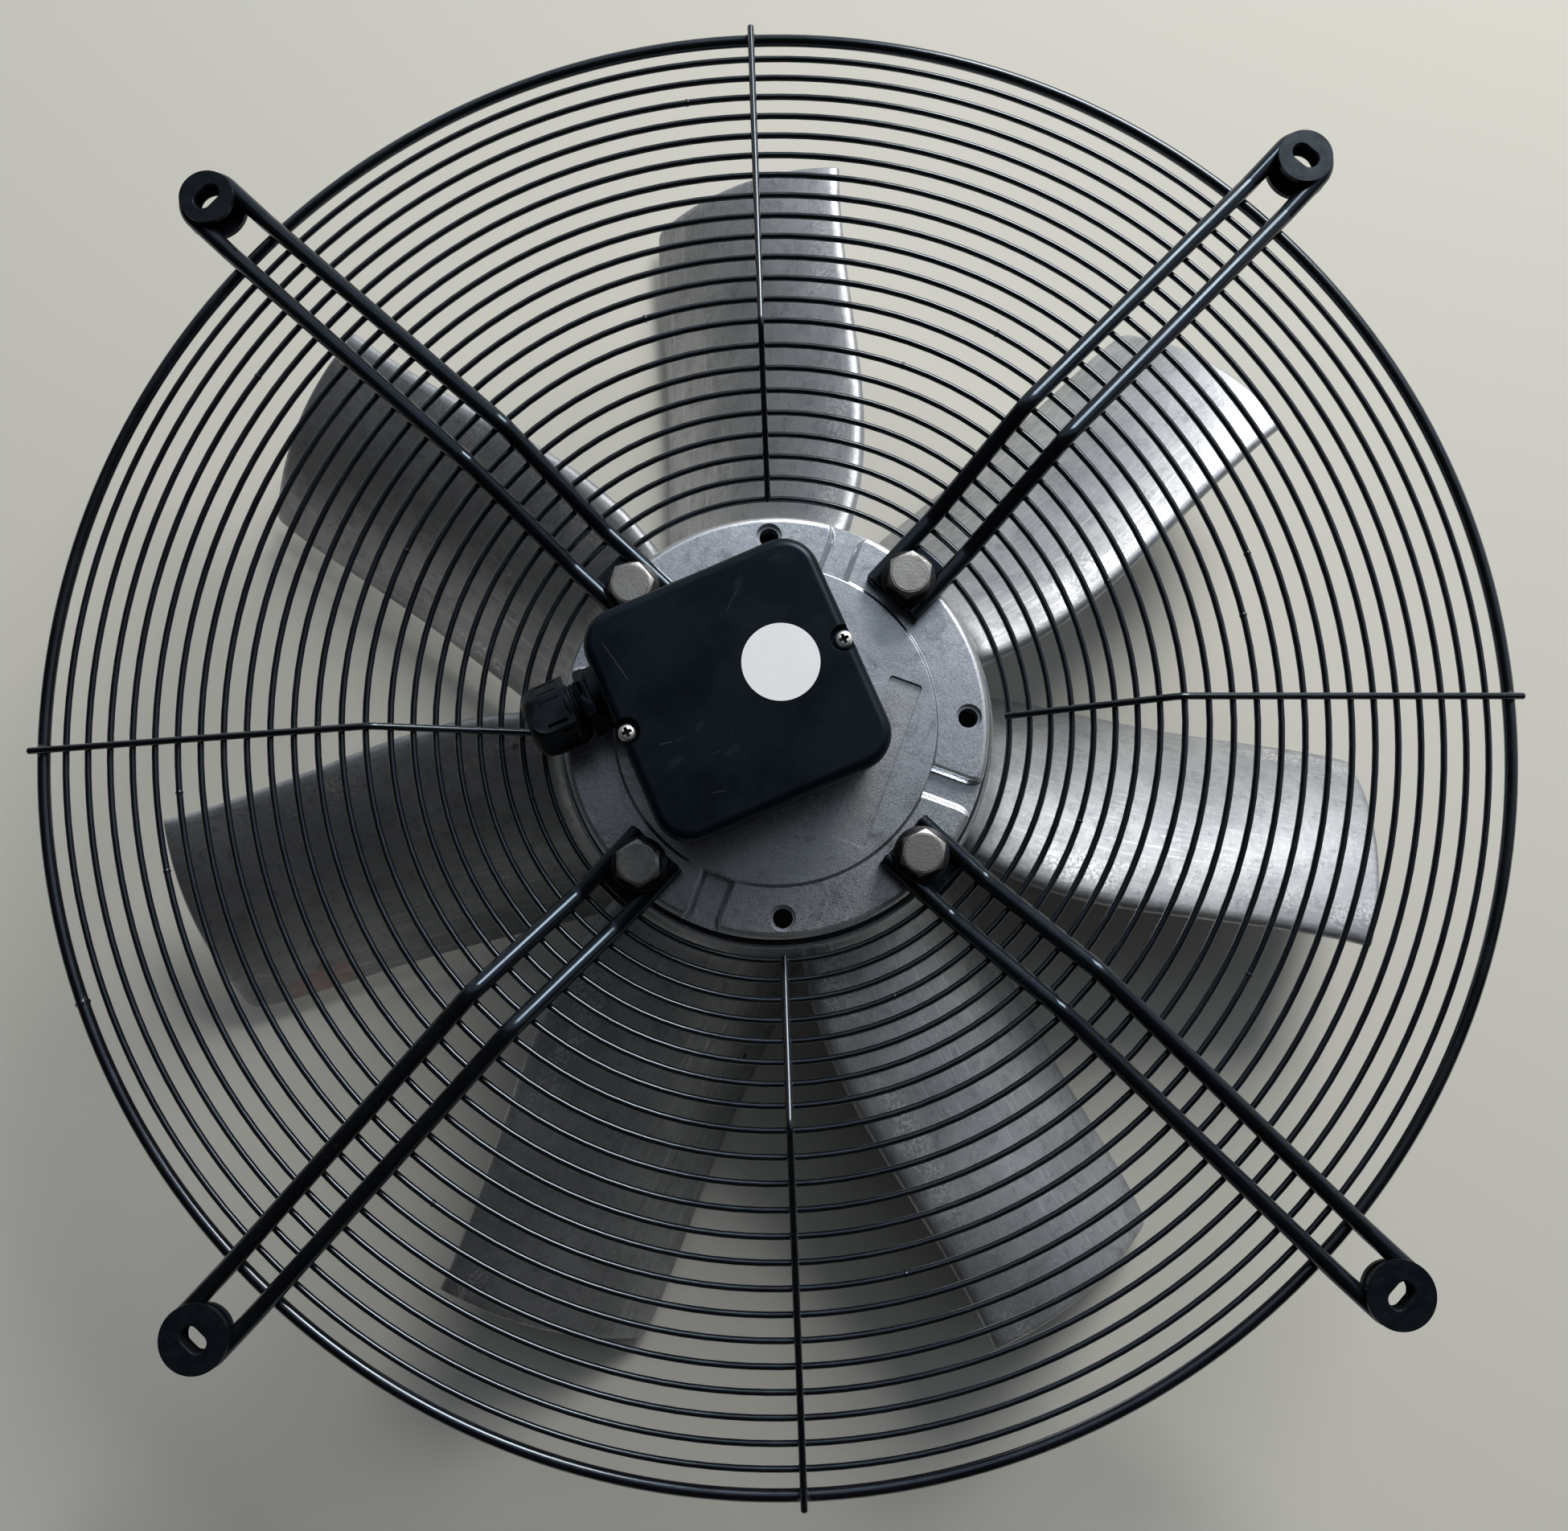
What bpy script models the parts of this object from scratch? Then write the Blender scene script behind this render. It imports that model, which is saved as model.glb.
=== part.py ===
"""Axial fan with an external-rotor motor and a dished wire guard on its intake side.

Units are metres. +Z runs along the fan axis from the impeller to the guard, and
z = 0 is the underside of the rotor. The guard, its four arms, the motor flange and
the terminal box stand still. The rotor, its hub ring and the seven blades turn.
"""

import bpy
import bmesh
from math import asin, atan2, cos, floor, pi, radians, sin, tan
from mathutils import Matrix, Vector

# Fits
SEAT_GAP = 0.0003          # between pieces that touch
RUN_GAP = 0.0010           # between what turns and what stands still
AIR_GAP = 0.0006           # between the stator and the rotor iron
OVERRUN = 0.0020           # how far a cut runs past the face it opens
MERGE_GAP = 0.000001       # points closer than this are one point

# Heights that place the assembly
FLANGE_TOP = 0.1273        # rim face of the motor flange above the rotor's underside

# Rotor radius, which the flange, the stator iron, the hub ring and the guard's hole follow
ROTOR_R = 0.0880

# Motor flange and bearing tube
FLANGE_SETBACK = 0.0015    # flange inside the rotor's outer face
FLANGE_R = ROTOR_R - FLANGE_SETBACK
FLANGE_RIM = 0.0118        # thickness of the rim
FLANGE_EDGE = 0.0012       # chamfer on the rim
RIM_W = 0.0215             # from the edge in to the raised disc
DISC_R = FLANGE_R - RIM_W
DISC_RISE = 0.0010
HOLE_INSET = 0.0085        # screw holes in from the edge
HOLE_PITCH_R = FLANGE_R - HOLE_INSET
HOLE_COUNT = 8
FREE_HOLE_R = 0.0053
FREE_HOLE_STEP = 0.0030
FREE_HOLE_INNER_R = 0.0040
CHANNEL_COUNT = 4
CHANNEL_ANGLE = radians(-22.5)
CHANNEL_W = 0.0110
CHANNEL_DEPTH = 0.0060
PANEL_INSET = 0.0215       # centre line of the shallow recess in from the disc's edge
PANEL_R = DISC_R - PANEL_INSET
PANEL_W = 0.0140
PANEL_END_INSET = 0.0300   # ends of the recess in from the disc's edge
PANEL_L = 2 * (DISC_R - PANEL_END_INSET)
PANEL_DEPTH = 0.0008
TUBE_COLLAR_R = 0.0380
TUBE_COLLAR_H = 0.0040
TUBE_R = 0.0280
TUBE_L = 0.1035            # below the underside of the rim
WIRE_PASS_R = 0.0060
WIRE_PASS_INSET = 0.0166   # hole for the winding's wires in from the disc's edge
WIRE_PASS_ANGLE = radians(128.3)
WIRE_PASS_U = (DISC_R - WIRE_PASS_INSET) * cos(WIRE_PASS_ANGLE)
WIRE_PASS_V = (DISC_R - WIRE_PASS_INSET) * sin(WIRE_PASS_ANGLE)

# Bearings and shaft
BEARING_R = 0.0235
BEARING_OUTER_LAND_R = 0.0195
BEARING_INNER_LAND_R = 0.0138
BEARING_H = 0.0140
BALL_BAND_H = 0.0080
UPPER_BEARING_DROP = 0.0055   # top of the upper bearing below the underside of the rim
LOWER_BEARING_DROP = 0.0875
SPRING_H = 0.0006
SPRING_W = 0.0022
SHAFT_R = 0.0100
SHAFT_EDGE = 0.0010
GROOVE_DEPTH = 0.0008
CLIP_H = 0.0012
CLIP_W = 0.0028

# Rotor wall and cage
ROTOR_WALL = 0.0028
CAGE_T = 0.0123

# Stator iron and winding
CORE_R = ROTOR_R - ROTOR_WALL - SEAT_GAP - CAGE_T - AIR_GAP
CORE_TOP_DROP = 0.0255     # below the underside of the rim
CORE_H = 0.0600
SLOT_COUNT = 12
SLOT_W = 0.0070
SLOT_DEPTH_SHARE = 0.32    # of the iron's radius
SLOT_DEPTH = CORE_R * SLOT_DEPTH_SHARE
COIL_INSET = 0.0065        # winding inside the iron's outer face
COIL_OUTER_R = CORE_R - COIL_INSET
COIL_INNER_SHARE = 0.56
COIL_INNER_R = COIL_OUTER_R * COIL_INNER_SHARE
COIL_H = 0.0165
COIL_EDGE = 0.0045

# Rotor cup and hub ring
ROTOR_FLOOR = 0.0040
ROTOR_EDGE = 0.0080        # chamfer round the closed end
BOSS_R = 0.0160
CAGE_OVERHANG = 0.0020     # beyond the stator iron at each end
HUB_T = 0.0055
HUB_R = ROTOR_R + HUB_T
HUB_BOTTOM = 0.0040
HUB_TOP_DROP = 0.0093      # top of the hub ring below the rim face
HUB_STEP_H = 0.0030
HUB_STEP_W = 0.0025

# Blades: the chord runs from the leading edge, high and ahead, to the trailing edge
BLADE_COUNT = 7
TIP_R = 0.2770
BLADE_ROOT_T = 0.0075
BLADE_TIP_T = 0.0052
LEAD_ROOT_Z = 0.0900
LEAD_TIP_Z = 0.0610
TRAIL_Z = 0.0080
LEAD_ROOT_ANGLE = radians(-21.4)
LEAD_TIP_ANGLE = radians(-7.65)
TRAIL_ROOT_ANGLE = radians(31.0)
TRAIL_TIP_ANGLE = radians(10.45)
# For each station: share of the span, of the sweep of the leading edge and of the trailing edge
STATION_SHARES = (
    (0.00, 0.00, 0.00),
    (0.15, 0.08, 0.34),
    (0.35, 0.40, 0.62),
    (0.57, 0.72, 0.81),
    (0.80, 0.91, 0.93),
    (1.00, 1.00, 1.00),
)
CAMBER_SHARE = 0.12
# Along the chord: share of the chord and of the blade's thickness
SECTION_SHARES = (
    (0.00, 0.34),
    (0.03, 0.80),
    (0.11, 1.00),
    (0.25, 1.00),
    (0.41, 0.90),
    (0.57, 0.76),
    (0.73, 0.58),
    (0.88, 0.40),
    (1.00, 0.26),
)

# Wire guard
GUARD_R = 0.2961
GUARD_BEND_R = 0.1547
GUARD_HUB_GAP = 0.0083         # innermost ring clear of the flange's edge
GUARD_INNER_R = FLANGE_R + GUARD_HUB_GAP
SPOKE_OUTER_RISE = 0.00245     # spoke centre line above the flange rim, at the outer ring
SPOKE_BEND_RISE = 0.0337
SPOKE_INNER_RISE = -0.0012
SPOKE_OVERHANG = 0.0055
OUTER_WIRE_D = 0.0050
RING_WIRE_D = 0.0026
SPOKE_WIRE_D = 0.0028
WELD_DEPTH = 0.0003
FIRST_RING_INSET = 0.0107
OUTER_RING_PITCH = 0.0099
INNER_RING_PITCH = 0.00763
SPOKE_COUNT = 4
SQUARE_SHARE = 0.886           # side of the square that has a round wire's area

# Arms
ARM_COUNT = 4
ARM_WIRE_D = 0.0070
ARM_SPACING = 0.0200
ARM_BEND_R = 0.0100
ARM_LOOP_RISE = 0.0050         # loop centre line above the flange rim
BOLT_PLATE_REACH_IN = 0.0095   # plate from the bolt towards the axis
BOLT_PLATE_REACH_OUT = 0.0150
BOLT_PLATE_IN = HOLE_PITCH_R - BOLT_PLATE_REACH_IN
BOLT_PLATE_OUT = HOLE_PITCH_R + BOLT_PLATE_REACH_OUT
BOLT_PLATE_T = 0.0040

# Bushes in the arm loops
BUSH_R = 0.3228
BUSH_LARGE_D = 0.0265
BUSH_SMALL_D = 0.0225
BUSH_FLANGE_T = 0.0024
BUSH_EDGE = 0.0006
BUSH_SLOT_L = 0.0107
BUSH_SLOT_W = 0.0065

# Bolts and washers
BOLT_D = 0.0098
BOLT_AF = 0.0163
BOLT_HEAD_H = 0.0064
BOLT_HEAD_EDGE = 0.0012
SHANK_EDGE = 0.0006
SHANK_ROOT = 0.0003            # how far the shank runs into the head
WASHER_D = 0.0220
WASHER_T = 0.0025

# Terminal box, set out along its own sides
BOX_TURN = radians(21.5)
UPPER_LEFT_TURN = radians(135) - BOX_TURN    # the two left bolts as the box sees them
LOWER_LEFT_TURN = radians(225) - BOX_TURN
BOX_LEFT_GAP = 0.01403         # the box's side from the middle of the lower left bolt
BOX_TOP_GAP = 0.01253          # and from the middle of the upper left bolt
BOX_LEFT = HOLE_PITCH_R * cos(LOWER_LEFT_TURN) + BOX_LEFT_GAP
BOX_RIGHT = 0.0372
BOX_BOTTOM = -0.0350
BOX_TOP = HOLE_PITCH_R * sin(UPPER_LEFT_TURN) - BOX_TOP_GAP
BOX_CORNER_R = 0.0140
BOX_DRAFT = 0.0028             # inset of the base's foot
BOX_WALL = 0.0030
BASE_H = 0.0364
GASKET_T = 0.0015
GASKET_INSET = 0.0004
LID_H = 0.0079
LID_EDGE = 0.0040
LID_TOP_T = 0.0035
SCREW_D = 0.0036
SCREW_HEAD_D = 0.0063
SCREW_HEAD_H = 0.0025
SCREW_L = 0.0150
SCREW_INSET = 0.0032
GLAND_INSET = 0.0255           # gland axis in from the box's upper side
GLAND_V = BOX_TOP - GLAND_INSET
SCREW_TO_GLAND = 0.0205
SCREW_V = GLAND_V - SCREW_TO_GLAND
NOTCH_R = 0.0046
NOTCH_DEPTH = 0.0045
PILLAR_R = 0.0068
TERMINAL_L = 0.0480
TERMINAL_W = 0.0160
TERMINAL_H = 0.0150
TERMINAL_WAYS = 6
TERMINAL_RIB = 0.0016
TERMINAL_STEP = 0.0050
TERMINAL_U = 0.0020
TERMINAL_V = -0.0060

# Cable gland on the left side of the box
GLAND_RISE = 0.0227            # gland axis above the flange rim
GLAND_BOSS_R = 0.0130
GLAND_BOSS_L = 0.0040
GLAND_THREAD_R = 0.0099
GLAND_FLANGE_AF = 0.0240
GLAND_FLANGE_T = 0.0042
GLAND_INSIDE_L = 0.0045
GLAND_THREAD_L = 0.0135
GLAND_BORE_R = 0.0062
GLAND_NUT_AF = 0.0248
GLAND_NUT_GAP = 0.0012         # thread that shows between the flange and the nut
GLAND_NUT_L = 0.0145
GLAND_DOME_L = 0.0070
GLAND_MOUTH_R = 0.0072
SEAL_BORE_R = 0.0046
SEAL_WALL = 0.0033
SEAL_L = 0.0080

# Facets
BIG_SIDES = 24
RING_SIDES = 24                # a multiple of the spokes, as the next two are
INNER_RING_SIDES = 16
OUTER_RING_SIDES = 32
TUBE_SIDES = 16
SMALL_SIDES = 10
BOSS_SIDES = 12
BEARING_SIDES = 10
CORNER_STEPS = 3
BEND_STEPS = 2
LOOP_STEPS = 6
SLOT_END_STEPS = 3
WIRE_SIDES = 6

HALF_TURN = pi
FULL_TURN = 2 * pi
QUARTER = pi / 2


def clear_scene():
    for old in list(bpy.data.objects):
        bpy.data.objects.remove(old, do_unlink=True)


def finish_material(name, colour, roughness, metallic):
    material = bpy.data.materials.new(name)
    material.use_nodes = True
    shader = material.node_tree.nodes["Principled BSDF"]
    shader.inputs["Base Color"].default_value = (*colour, 1)
    shader.inputs["Roughness"].default_value = roughness
    shader.inputs["Metallic"].default_value = metallic
    material.diffuse_color = (*colour, 1)
    return material


def place(name, mesh, material, parent, location=(0, 0, 0), rotation=(0, 0, 0)):
    """Adds one named piece, smooth where it is round."""
    piece = bpy.data.objects.new(name, mesh)
    bpy.context.scene.collection.objects.link(piece)
    piece.location = location
    piece.rotation_euler = rotation
    piece.parent = parent
    if not mesh.materials:
        mesh.materials.append(material)
    mesh.shade_smooth()
    mesh.set_sharp_from_angle(angle=radians(30))
    return piece


def polar(radius, angle, height=0):
    return Vector((radius * cos(angle), radius * sin(angle), height))


def to_mesh(bm, name="work"):
    bmesh.ops.remove_doubles(bm, verts=bm.verts[:], dist=MERGE_GAP)
    bmesh.ops.recalc_face_normals(bm, faces=bm.faces[:])
    mesh = bpy.data.meshes.new(name)
    bm.to_mesh(mesh)
    bm.free()
    return mesh


def moved(mesh, matrix):
    copy = mesh.copy()
    copy.transform(matrix)
    return copy


def turned(outline, sides):
    """Turns a closed (radius, height) outline about Z, with a flat facing +X."""
    bm = bmesh.new()
    start = Matrix.Rotation(HALF_TURN / sides, 3, 'Z')
    verts = [bm.verts.new(start @ Vector((r, 0, z))) for r, z in outline]
    edges = [bm.edges.new((a, b)) for a, b in zip(verts, verts[1:] + verts[:1])]
    bmesh.ops.spin(bm, geom=verts + edges, cent=(0, 0, 0), axis=(0, 0, 1),
                   angle=FULL_TURN, steps=sides, use_merge=True)
    return to_mesh(bm)


def prism(outline, low, high):
    """Extrudes a closed (x, y) outline upwards."""
    bm = bmesh.new()
    face = bm.faces.new([bm.verts.new((x, y, low)) for x, y in outline])
    side = bmesh.ops.extrude_face_region(bm, geom=[face])
    top = [part for part in side["geom"] if isinstance(part, bmesh.types.BMVert)]
    bmesh.ops.translate(bm, verts=top, vec=(0, 0, high - low))
    return to_mesh(bm)


def loft(rings):
    """Skins closed rings of equally many points, and closes both ends with a fan of quads."""
    bm = bmesh.new()
    rows = [[bm.verts.new(point) for point in ring] for ring in rings]
    count = len(rows[0])
    for lower, upper in zip(rows, rows[1:]):
        for i in range(count):
            j = (i + 1) % count
            bm.faces.new((lower[i], lower[j], upper[j], upper[i]))
    for row in (rows[0], rows[-1]):
        for i in range(count // 2 - 1):
            corners = [row[i], row[i + 1], row[-2 - i], row[-1 - i]]
            bm.faces.new(corners)
    return to_mesh(bm)


def combine(kind, base, *tools):
    """Joins closed meshes, or cuts the tools from the base, with exact Booleans."""
    host = bpy.data.objects.new("host", base)
    bpy.context.scene.collection.objects.link(host)
    helpers = []
    for tool in tools:
        helper = bpy.data.objects.new("tool", tool)
        bpy.context.scene.collection.objects.link(helper)
        modifier = host.modifiers.new("exact", 'BOOLEAN')
        modifier.operation = kind
        modifier.solver = 'EXACT'
        modifier.object = helper
        helpers.append(helper)
    graph = bpy.context.evaluated_depsgraph_get()
    result = bpy.data.meshes.new_from_object(host.evaluated_get(graph))
    for helper in helpers + [host]:
        bpy.data.objects.remove(helper)
    result.materials.clear()
    return result


def circle(radius, sides, centre=(0, 0), flats=True):
    """Points round a circle. With flats, the sides touch the circle, which suits a hole."""
    reach = radius / cos(HALF_TURN / sides) if flats else radius
    return [(centre[0] + reach * cos(FULL_TURN * (i + 1 / 2) / sides),
             centre[1] + reach * sin(FULL_TURN * (i + 1 / 2) / sides)) for i in range(sides)]


def drill(radius, low, high, centre=(0, 0), sides=SMALL_SIDES):
    return prism(circle(radius, sides, centre), low, high)


def block(x0, x1, y0, y1, z0, z1):
    return prism([(x0, y0), (x1, y0), (x1, y1), (x0, y1)], z0, z1)


def rounded_box(inset):
    """The terminal box's outline in plan, set in from its outer face."""
    radius = BOX_CORNER_R - inset
    corners = ((BOX_RIGHT, BOX_TOP, 0), (BOX_LEFT, BOX_TOP, 1),
               (BOX_LEFT, BOX_BOTTOM, 2), (BOX_RIGHT, BOX_BOTTOM, 3))
    points = []
    for x, y, turn in corners:
        cx = x - BOX_CORNER_R if x > 0 else x + BOX_CORNER_R
        cy = y - BOX_CORNER_R if y > 0 else y + BOX_CORNER_R
        for i in range(CORNER_STEPS + 1):
            angle = QUARTER * (turn + i / CORNER_STEPS)
            points.append((cx + radius * cos(angle), cy + radius * sin(angle)))
    return points


# Lines in the plane of one spoke or arm, as (radius, height) pairs

def spoke_height(radius):
    """Height of the spoke's centre line at a radius."""
    if radius > GUARD_BEND_R:
        share = (GUARD_R - radius) / (GUARD_R - GUARD_BEND_R)
        rise = SPOKE_OUTER_RISE + share * (SPOKE_BEND_RISE - SPOKE_OUTER_RISE)
    else:
        share = (GUARD_BEND_R - radius) / (GUARD_BEND_R - GUARD_INNER_R)
        rise = SPOKE_BEND_RISE + share * (SPOKE_INNER_RISE - SPOKE_BEND_RISE)
    return FLANGE_TOP + rise


def outer_slope():
    return atan2(SPOKE_BEND_RISE - SPOKE_OUTER_RISE, GUARD_R - GUARD_BEND_R)


def inner_slope():
    return atan2(SPOKE_BEND_RISE - SPOKE_INNER_RISE, GUARD_BEND_R - GUARD_INNER_R)


def crossing(line_a, line_b):
    """Where two (radius, height, slope) lines meet."""
    (ra, za, ta), (rb, zb, tb) = line_a, line_b
    radius = (zb - za + ta * ra - tb * rb) / (ta - tb)
    return radius, za + ta * (radius - ra)


def rounded_line(points, radius, steps):
    """A line through (radius, height) points with its inner corners rounded."""
    line = [Vector(points[0])]
    for before, corner, after in zip(points, points[1:], points[2:]):
        before, corner, after = Vector(before), Vector(corner), Vector(after)
        into = (corner - before).normalized()
        out = (after - corner).normalized()
        bend = into.angle(out)
        run = radius * tan(bend / 2)
        middle = corner + (out - into).normalized() * radius / cos(bend / 2)
        first = corner - into * run - middle
        side = 1 if into.cross(out) > 0 else -1
        for i in range(steps + 1):
            line.append(middle + Matrix.Rotation(side * bend * i / steps, 2) @ first)
    line.append(Vector(points[-1]))
    return line


def square_wire(diameter):
    return diameter * SQUARE_SHARE / 2


def ring_height(radius, sides):
    """Centre height of a guard ring that lies under the spokes, welded where it passes them."""
    passing = radius * cos(HALF_TURN / sides)
    slope = outer_slope() if passing > GUARD_BEND_R else inner_slope()
    drop = square_wire(RING_WIRE_D) + square_wire(SPOKE_WIRE_D) - WELD_DEPTH
    return spoke_height(passing) - drop / cos(slope)


def guard_rings():
    """Radius and number of facets of each thin ring."""
    rings = []
    field = GUARD_R - FIRST_RING_INSET - GUARD_BEND_R
    for i in range(floor(field / OUTER_RING_PITCH) + 1):
        rings.append((GUARD_R - FIRST_RING_INSET - i * OUTER_RING_PITCH, RING_SIDES))
    field = GUARD_BEND_R - GUARD_INNER_R
    for i in range(floor(field / INNER_RING_PITCH) + 1):
        rings.append((GUARD_INNER_R + i * INNER_RING_PITCH, INNER_RING_SIDES))
    return rings


def outer_ring_height():
    pass_height = spoke_height(GUARD_R * cos(HALF_TURN / OUTER_RING_SIDES))
    return pass_height + WELD_DEPTH - OUTER_WIRE_D / 2 - square_wire(SPOKE_WIRE_D) / cos(outer_slope())


def spoke_bar():
    """One bent spoke of square section, along +X."""
    half = square_wire(SPOKE_WIRE_D)
    start = GUARD_R + SPOKE_OVERHANG
    end = GUARD_INNER_R * cos(HALF_TURN / INNER_RING_SIDES) - half
    sides = []
    for side in (half, -half):
        tip = (start, spoke_height(start) + side / cos(outer_slope()), -tan(outer_slope()))
        inner = (end, spoke_height(end) + side / cos(inner_slope()), tan(inner_slope()))
        sides.append([tip[:2], crossing(tip, inner), inner[:2]])
    top, low = sides
    bar = prism(top + low[::-1], -half, half)
    upright = Matrix.Rotation(QUARTER, 4, 'X')
    return moved(bar, upright)


def guard_mesh():
    bm = bmesh.new()
    half = square_wire(RING_WIRE_D)
    for radius, sides in guard_rings():
        height = ring_height(radius, sides)
        outline = [(radius, height - half), (radius + half, height + half),
                   (radius - half, height + half)]
        bm.from_mesh(turned(outline, sides))
    wire = OUTER_WIRE_D / 2
    height = outer_ring_height()
    outline = [(GUARD_R + wire * cos(QUARTER + FULL_TURN * i / 6),
                height + wire * sin(QUARTER + FULL_TURN * i / 6)) for i in range(6)]
    bm.from_mesh(turned(outline, OUTER_RING_SIDES))
    rings = to_mesh(bm)
    bar = spoke_bar()
    turn = FULL_TURN / SPOKE_COUNT
    bars = [moved(bar, Matrix.Rotation(i * turn, 4, 'Z')) for i in range(SPOKE_COUNT)]
    return combine('UNION', rings, *bars)


def arm_wire_height():
    """Centre height of the leg ends, which lie welded into the bolt plate's top."""
    return FLANGE_TOP + SEAT_GAP + BOLT_PLATE_T + ARM_WIRE_D / 2 - WELD_DEPTH


def arm_side_line():
    """The leg's centre line seen from the side, clear of every guard ring that it crosses."""
    stand_off = ARM_WIRE_D / 2 + SEAT_GAP + RING_WIRE_D * SQUARE_SHARE / 2 ** (1 / 2)
    ring_gap = square_wire(RING_WIRE_D) + square_wire(SPOKE_WIRE_D) - WELD_DEPTH
    off = stand_off - ring_gap
    outer = (GUARD_R, spoke_height(GUARD_R) + off / cos(outer_slope()), -tan(outer_slope()))
    inner_z = spoke_height(GUARD_INNER_R) + off / cos(inner_slope())
    inner = (GUARD_INNER_R, inner_z, tan(inner_slope()))
    loop = (BUSH_R, FLANGE_TOP + ARM_LOOP_RISE, 0)
    foot = (BOLT_PLATE_IN, arm_wire_height(), 0)
    corners = [foot[:2], crossing(foot, inner), crossing(inner, outer), crossing(outer, loop)]
    return rounded_line(corners + [loop[:2]], ARM_BEND_R, BEND_STEPS)


def tube(points, diameter, sides):
    """A round wire along points, carried round its bends without twist."""
    points = [Vector(point) for point in points]
    heading = [(b - a).normalized() for a, b in zip(points, points[1:])]
    up = Vector((0, 0, 1))
    rings = []
    for i, point in enumerate(points):
        along = (heading[max(i - 1, 0)] + heading[min(i, len(heading) - 1)]).normalized()
        up = (up - along * up.dot(along)).normalized()
        across = along.cross(up)
        ring = []
        for j in range(sides):
            angle = QUARTER + FULL_TURN * j / sides
            ring.append(point + (across * cos(angle) + up * sin(angle)) * diameter / 2)
        rings.append(ring)
    return loft(rings)


def arm_mesh():
    """A hairpin of thick wire along +X with its legs welded on a bolt plate."""
    half = ARM_SPACING / 2
    side = arm_side_line()
    leg_in = [(r, -half, z) for r, z in side]
    leg_back = [(r, half, z) for r, z in reversed(side)]
    centre_z = FLANGE_TOP + ARM_LOOP_RISE
    loop = []
    for i in range(1, LOOP_STEPS):
        angle = -QUARTER + HALF_TURN * i / LOOP_STEPS
        loop.append((BUSH_R + half * cos(angle), half * sin(angle), centre_z))
    hairpin = tube(leg_in + loop + leg_back, ARM_WIRE_D, WIRE_SIDES)
    reach = half + ARM_WIRE_D / 2
    low = FLANGE_TOP + SEAT_GAP
    plate = block(BOLT_PLATE_IN, BOLT_PLATE_OUT, -reach, reach, low, low + BOLT_PLATE_T)
    hole = drill(BOLT_D / 2 + SEAT_GAP, low - OVERRUN, low + BOLT_PLATE_T + OVERRUN,
                 (HOLE_PITCH_R, 0))
    plate = combine('DIFFERENCE', plate, hole)
    return combine('UNION', hairpin, plate)


def washer_low():
    return arm_wire_height() + ARM_WIRE_D / 2 + SEAT_GAP


def washer_mesh():
    inner = (BOLT_D / 2 + SEAT_GAP) / cos(HALF_TURN / SMALL_SIDES)
    outline = [(inner, 0), (WASHER_D / 2, 0), (WASHER_D / 2, WASHER_T), (inner, WASHER_T)]
    return turned(outline, SMALL_SIDES)


def bolt_mesh():
    """Hexagon head with a chamfered crown, and a plain shank that reaches through the flange."""
    corner = BOLT_AF / 2 / cos(HALF_TURN / 6)
    head = turned([(0, 0), (corner, 0), (corner, BOLT_HEAD_H - BOLT_HEAD_EDGE),
                   (corner - BOLT_HEAD_EDGE, BOLT_HEAD_H), (0, BOLT_HEAD_H)], 6)
    under_head = washer_low() + WASHER_T + SEAT_GAP
    length = under_head - (FLANGE_TOP - FLANGE_RIM) - SEAT_GAP
    shank = turned([(0, -length), (BOLT_D / 2 - SHANK_EDGE, -length),
                    (BOLT_D / 2, -length + SHANK_EDGE), (BOLT_D / 2, SHANK_ROOT), (0, SHANK_ROOT)],
                   SMALL_SIDES)
    return combine('UNION', head, shank)


def bush_mesh(top_d, bottom_d):
    """A spool whose groove takes the arm's loop, with a slotted hole for the fixing screw."""
    neck = ARM_SPACING / 2 - ARM_WIRE_D / 2 - SEAT_GAP
    groove = ARM_WIRE_D / 2 + SEAT_GAP
    top, low = groove + BUSH_FLANGE_T, -groove - BUSH_FLANGE_T
    outline = [(0, low), (bottom_d / 2 - BUSH_EDGE, low), (bottom_d / 2, low + BUSH_EDGE),
               (bottom_d / 2, -groove), (neck, -groove), (neck, groove), (top_d / 2, groove),
               (top_d / 2, top - BUSH_EDGE), (top_d / 2 - BUSH_EDGE, top), (0, top)]
    spool = turned(outline, SMALL_SIDES)
    half = (BUSH_SLOT_L - BUSH_SLOT_W) / 2
    slot = []
    for side in (1, -1):
        for i in range(SLOT_END_STEPS + 1):
            angle = (1 - side) * QUARTER + HALF_TURN * i / SLOT_END_STEPS
            slot.append((BUSH_SLOT_W / 2 * cos(angle), side * half + BUSH_SLOT_W / 2 * sin(angle)))
    return combine('DIFFERENCE', spool, prism(slot, low - OVERRUN, top + OVERRUN))


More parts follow.
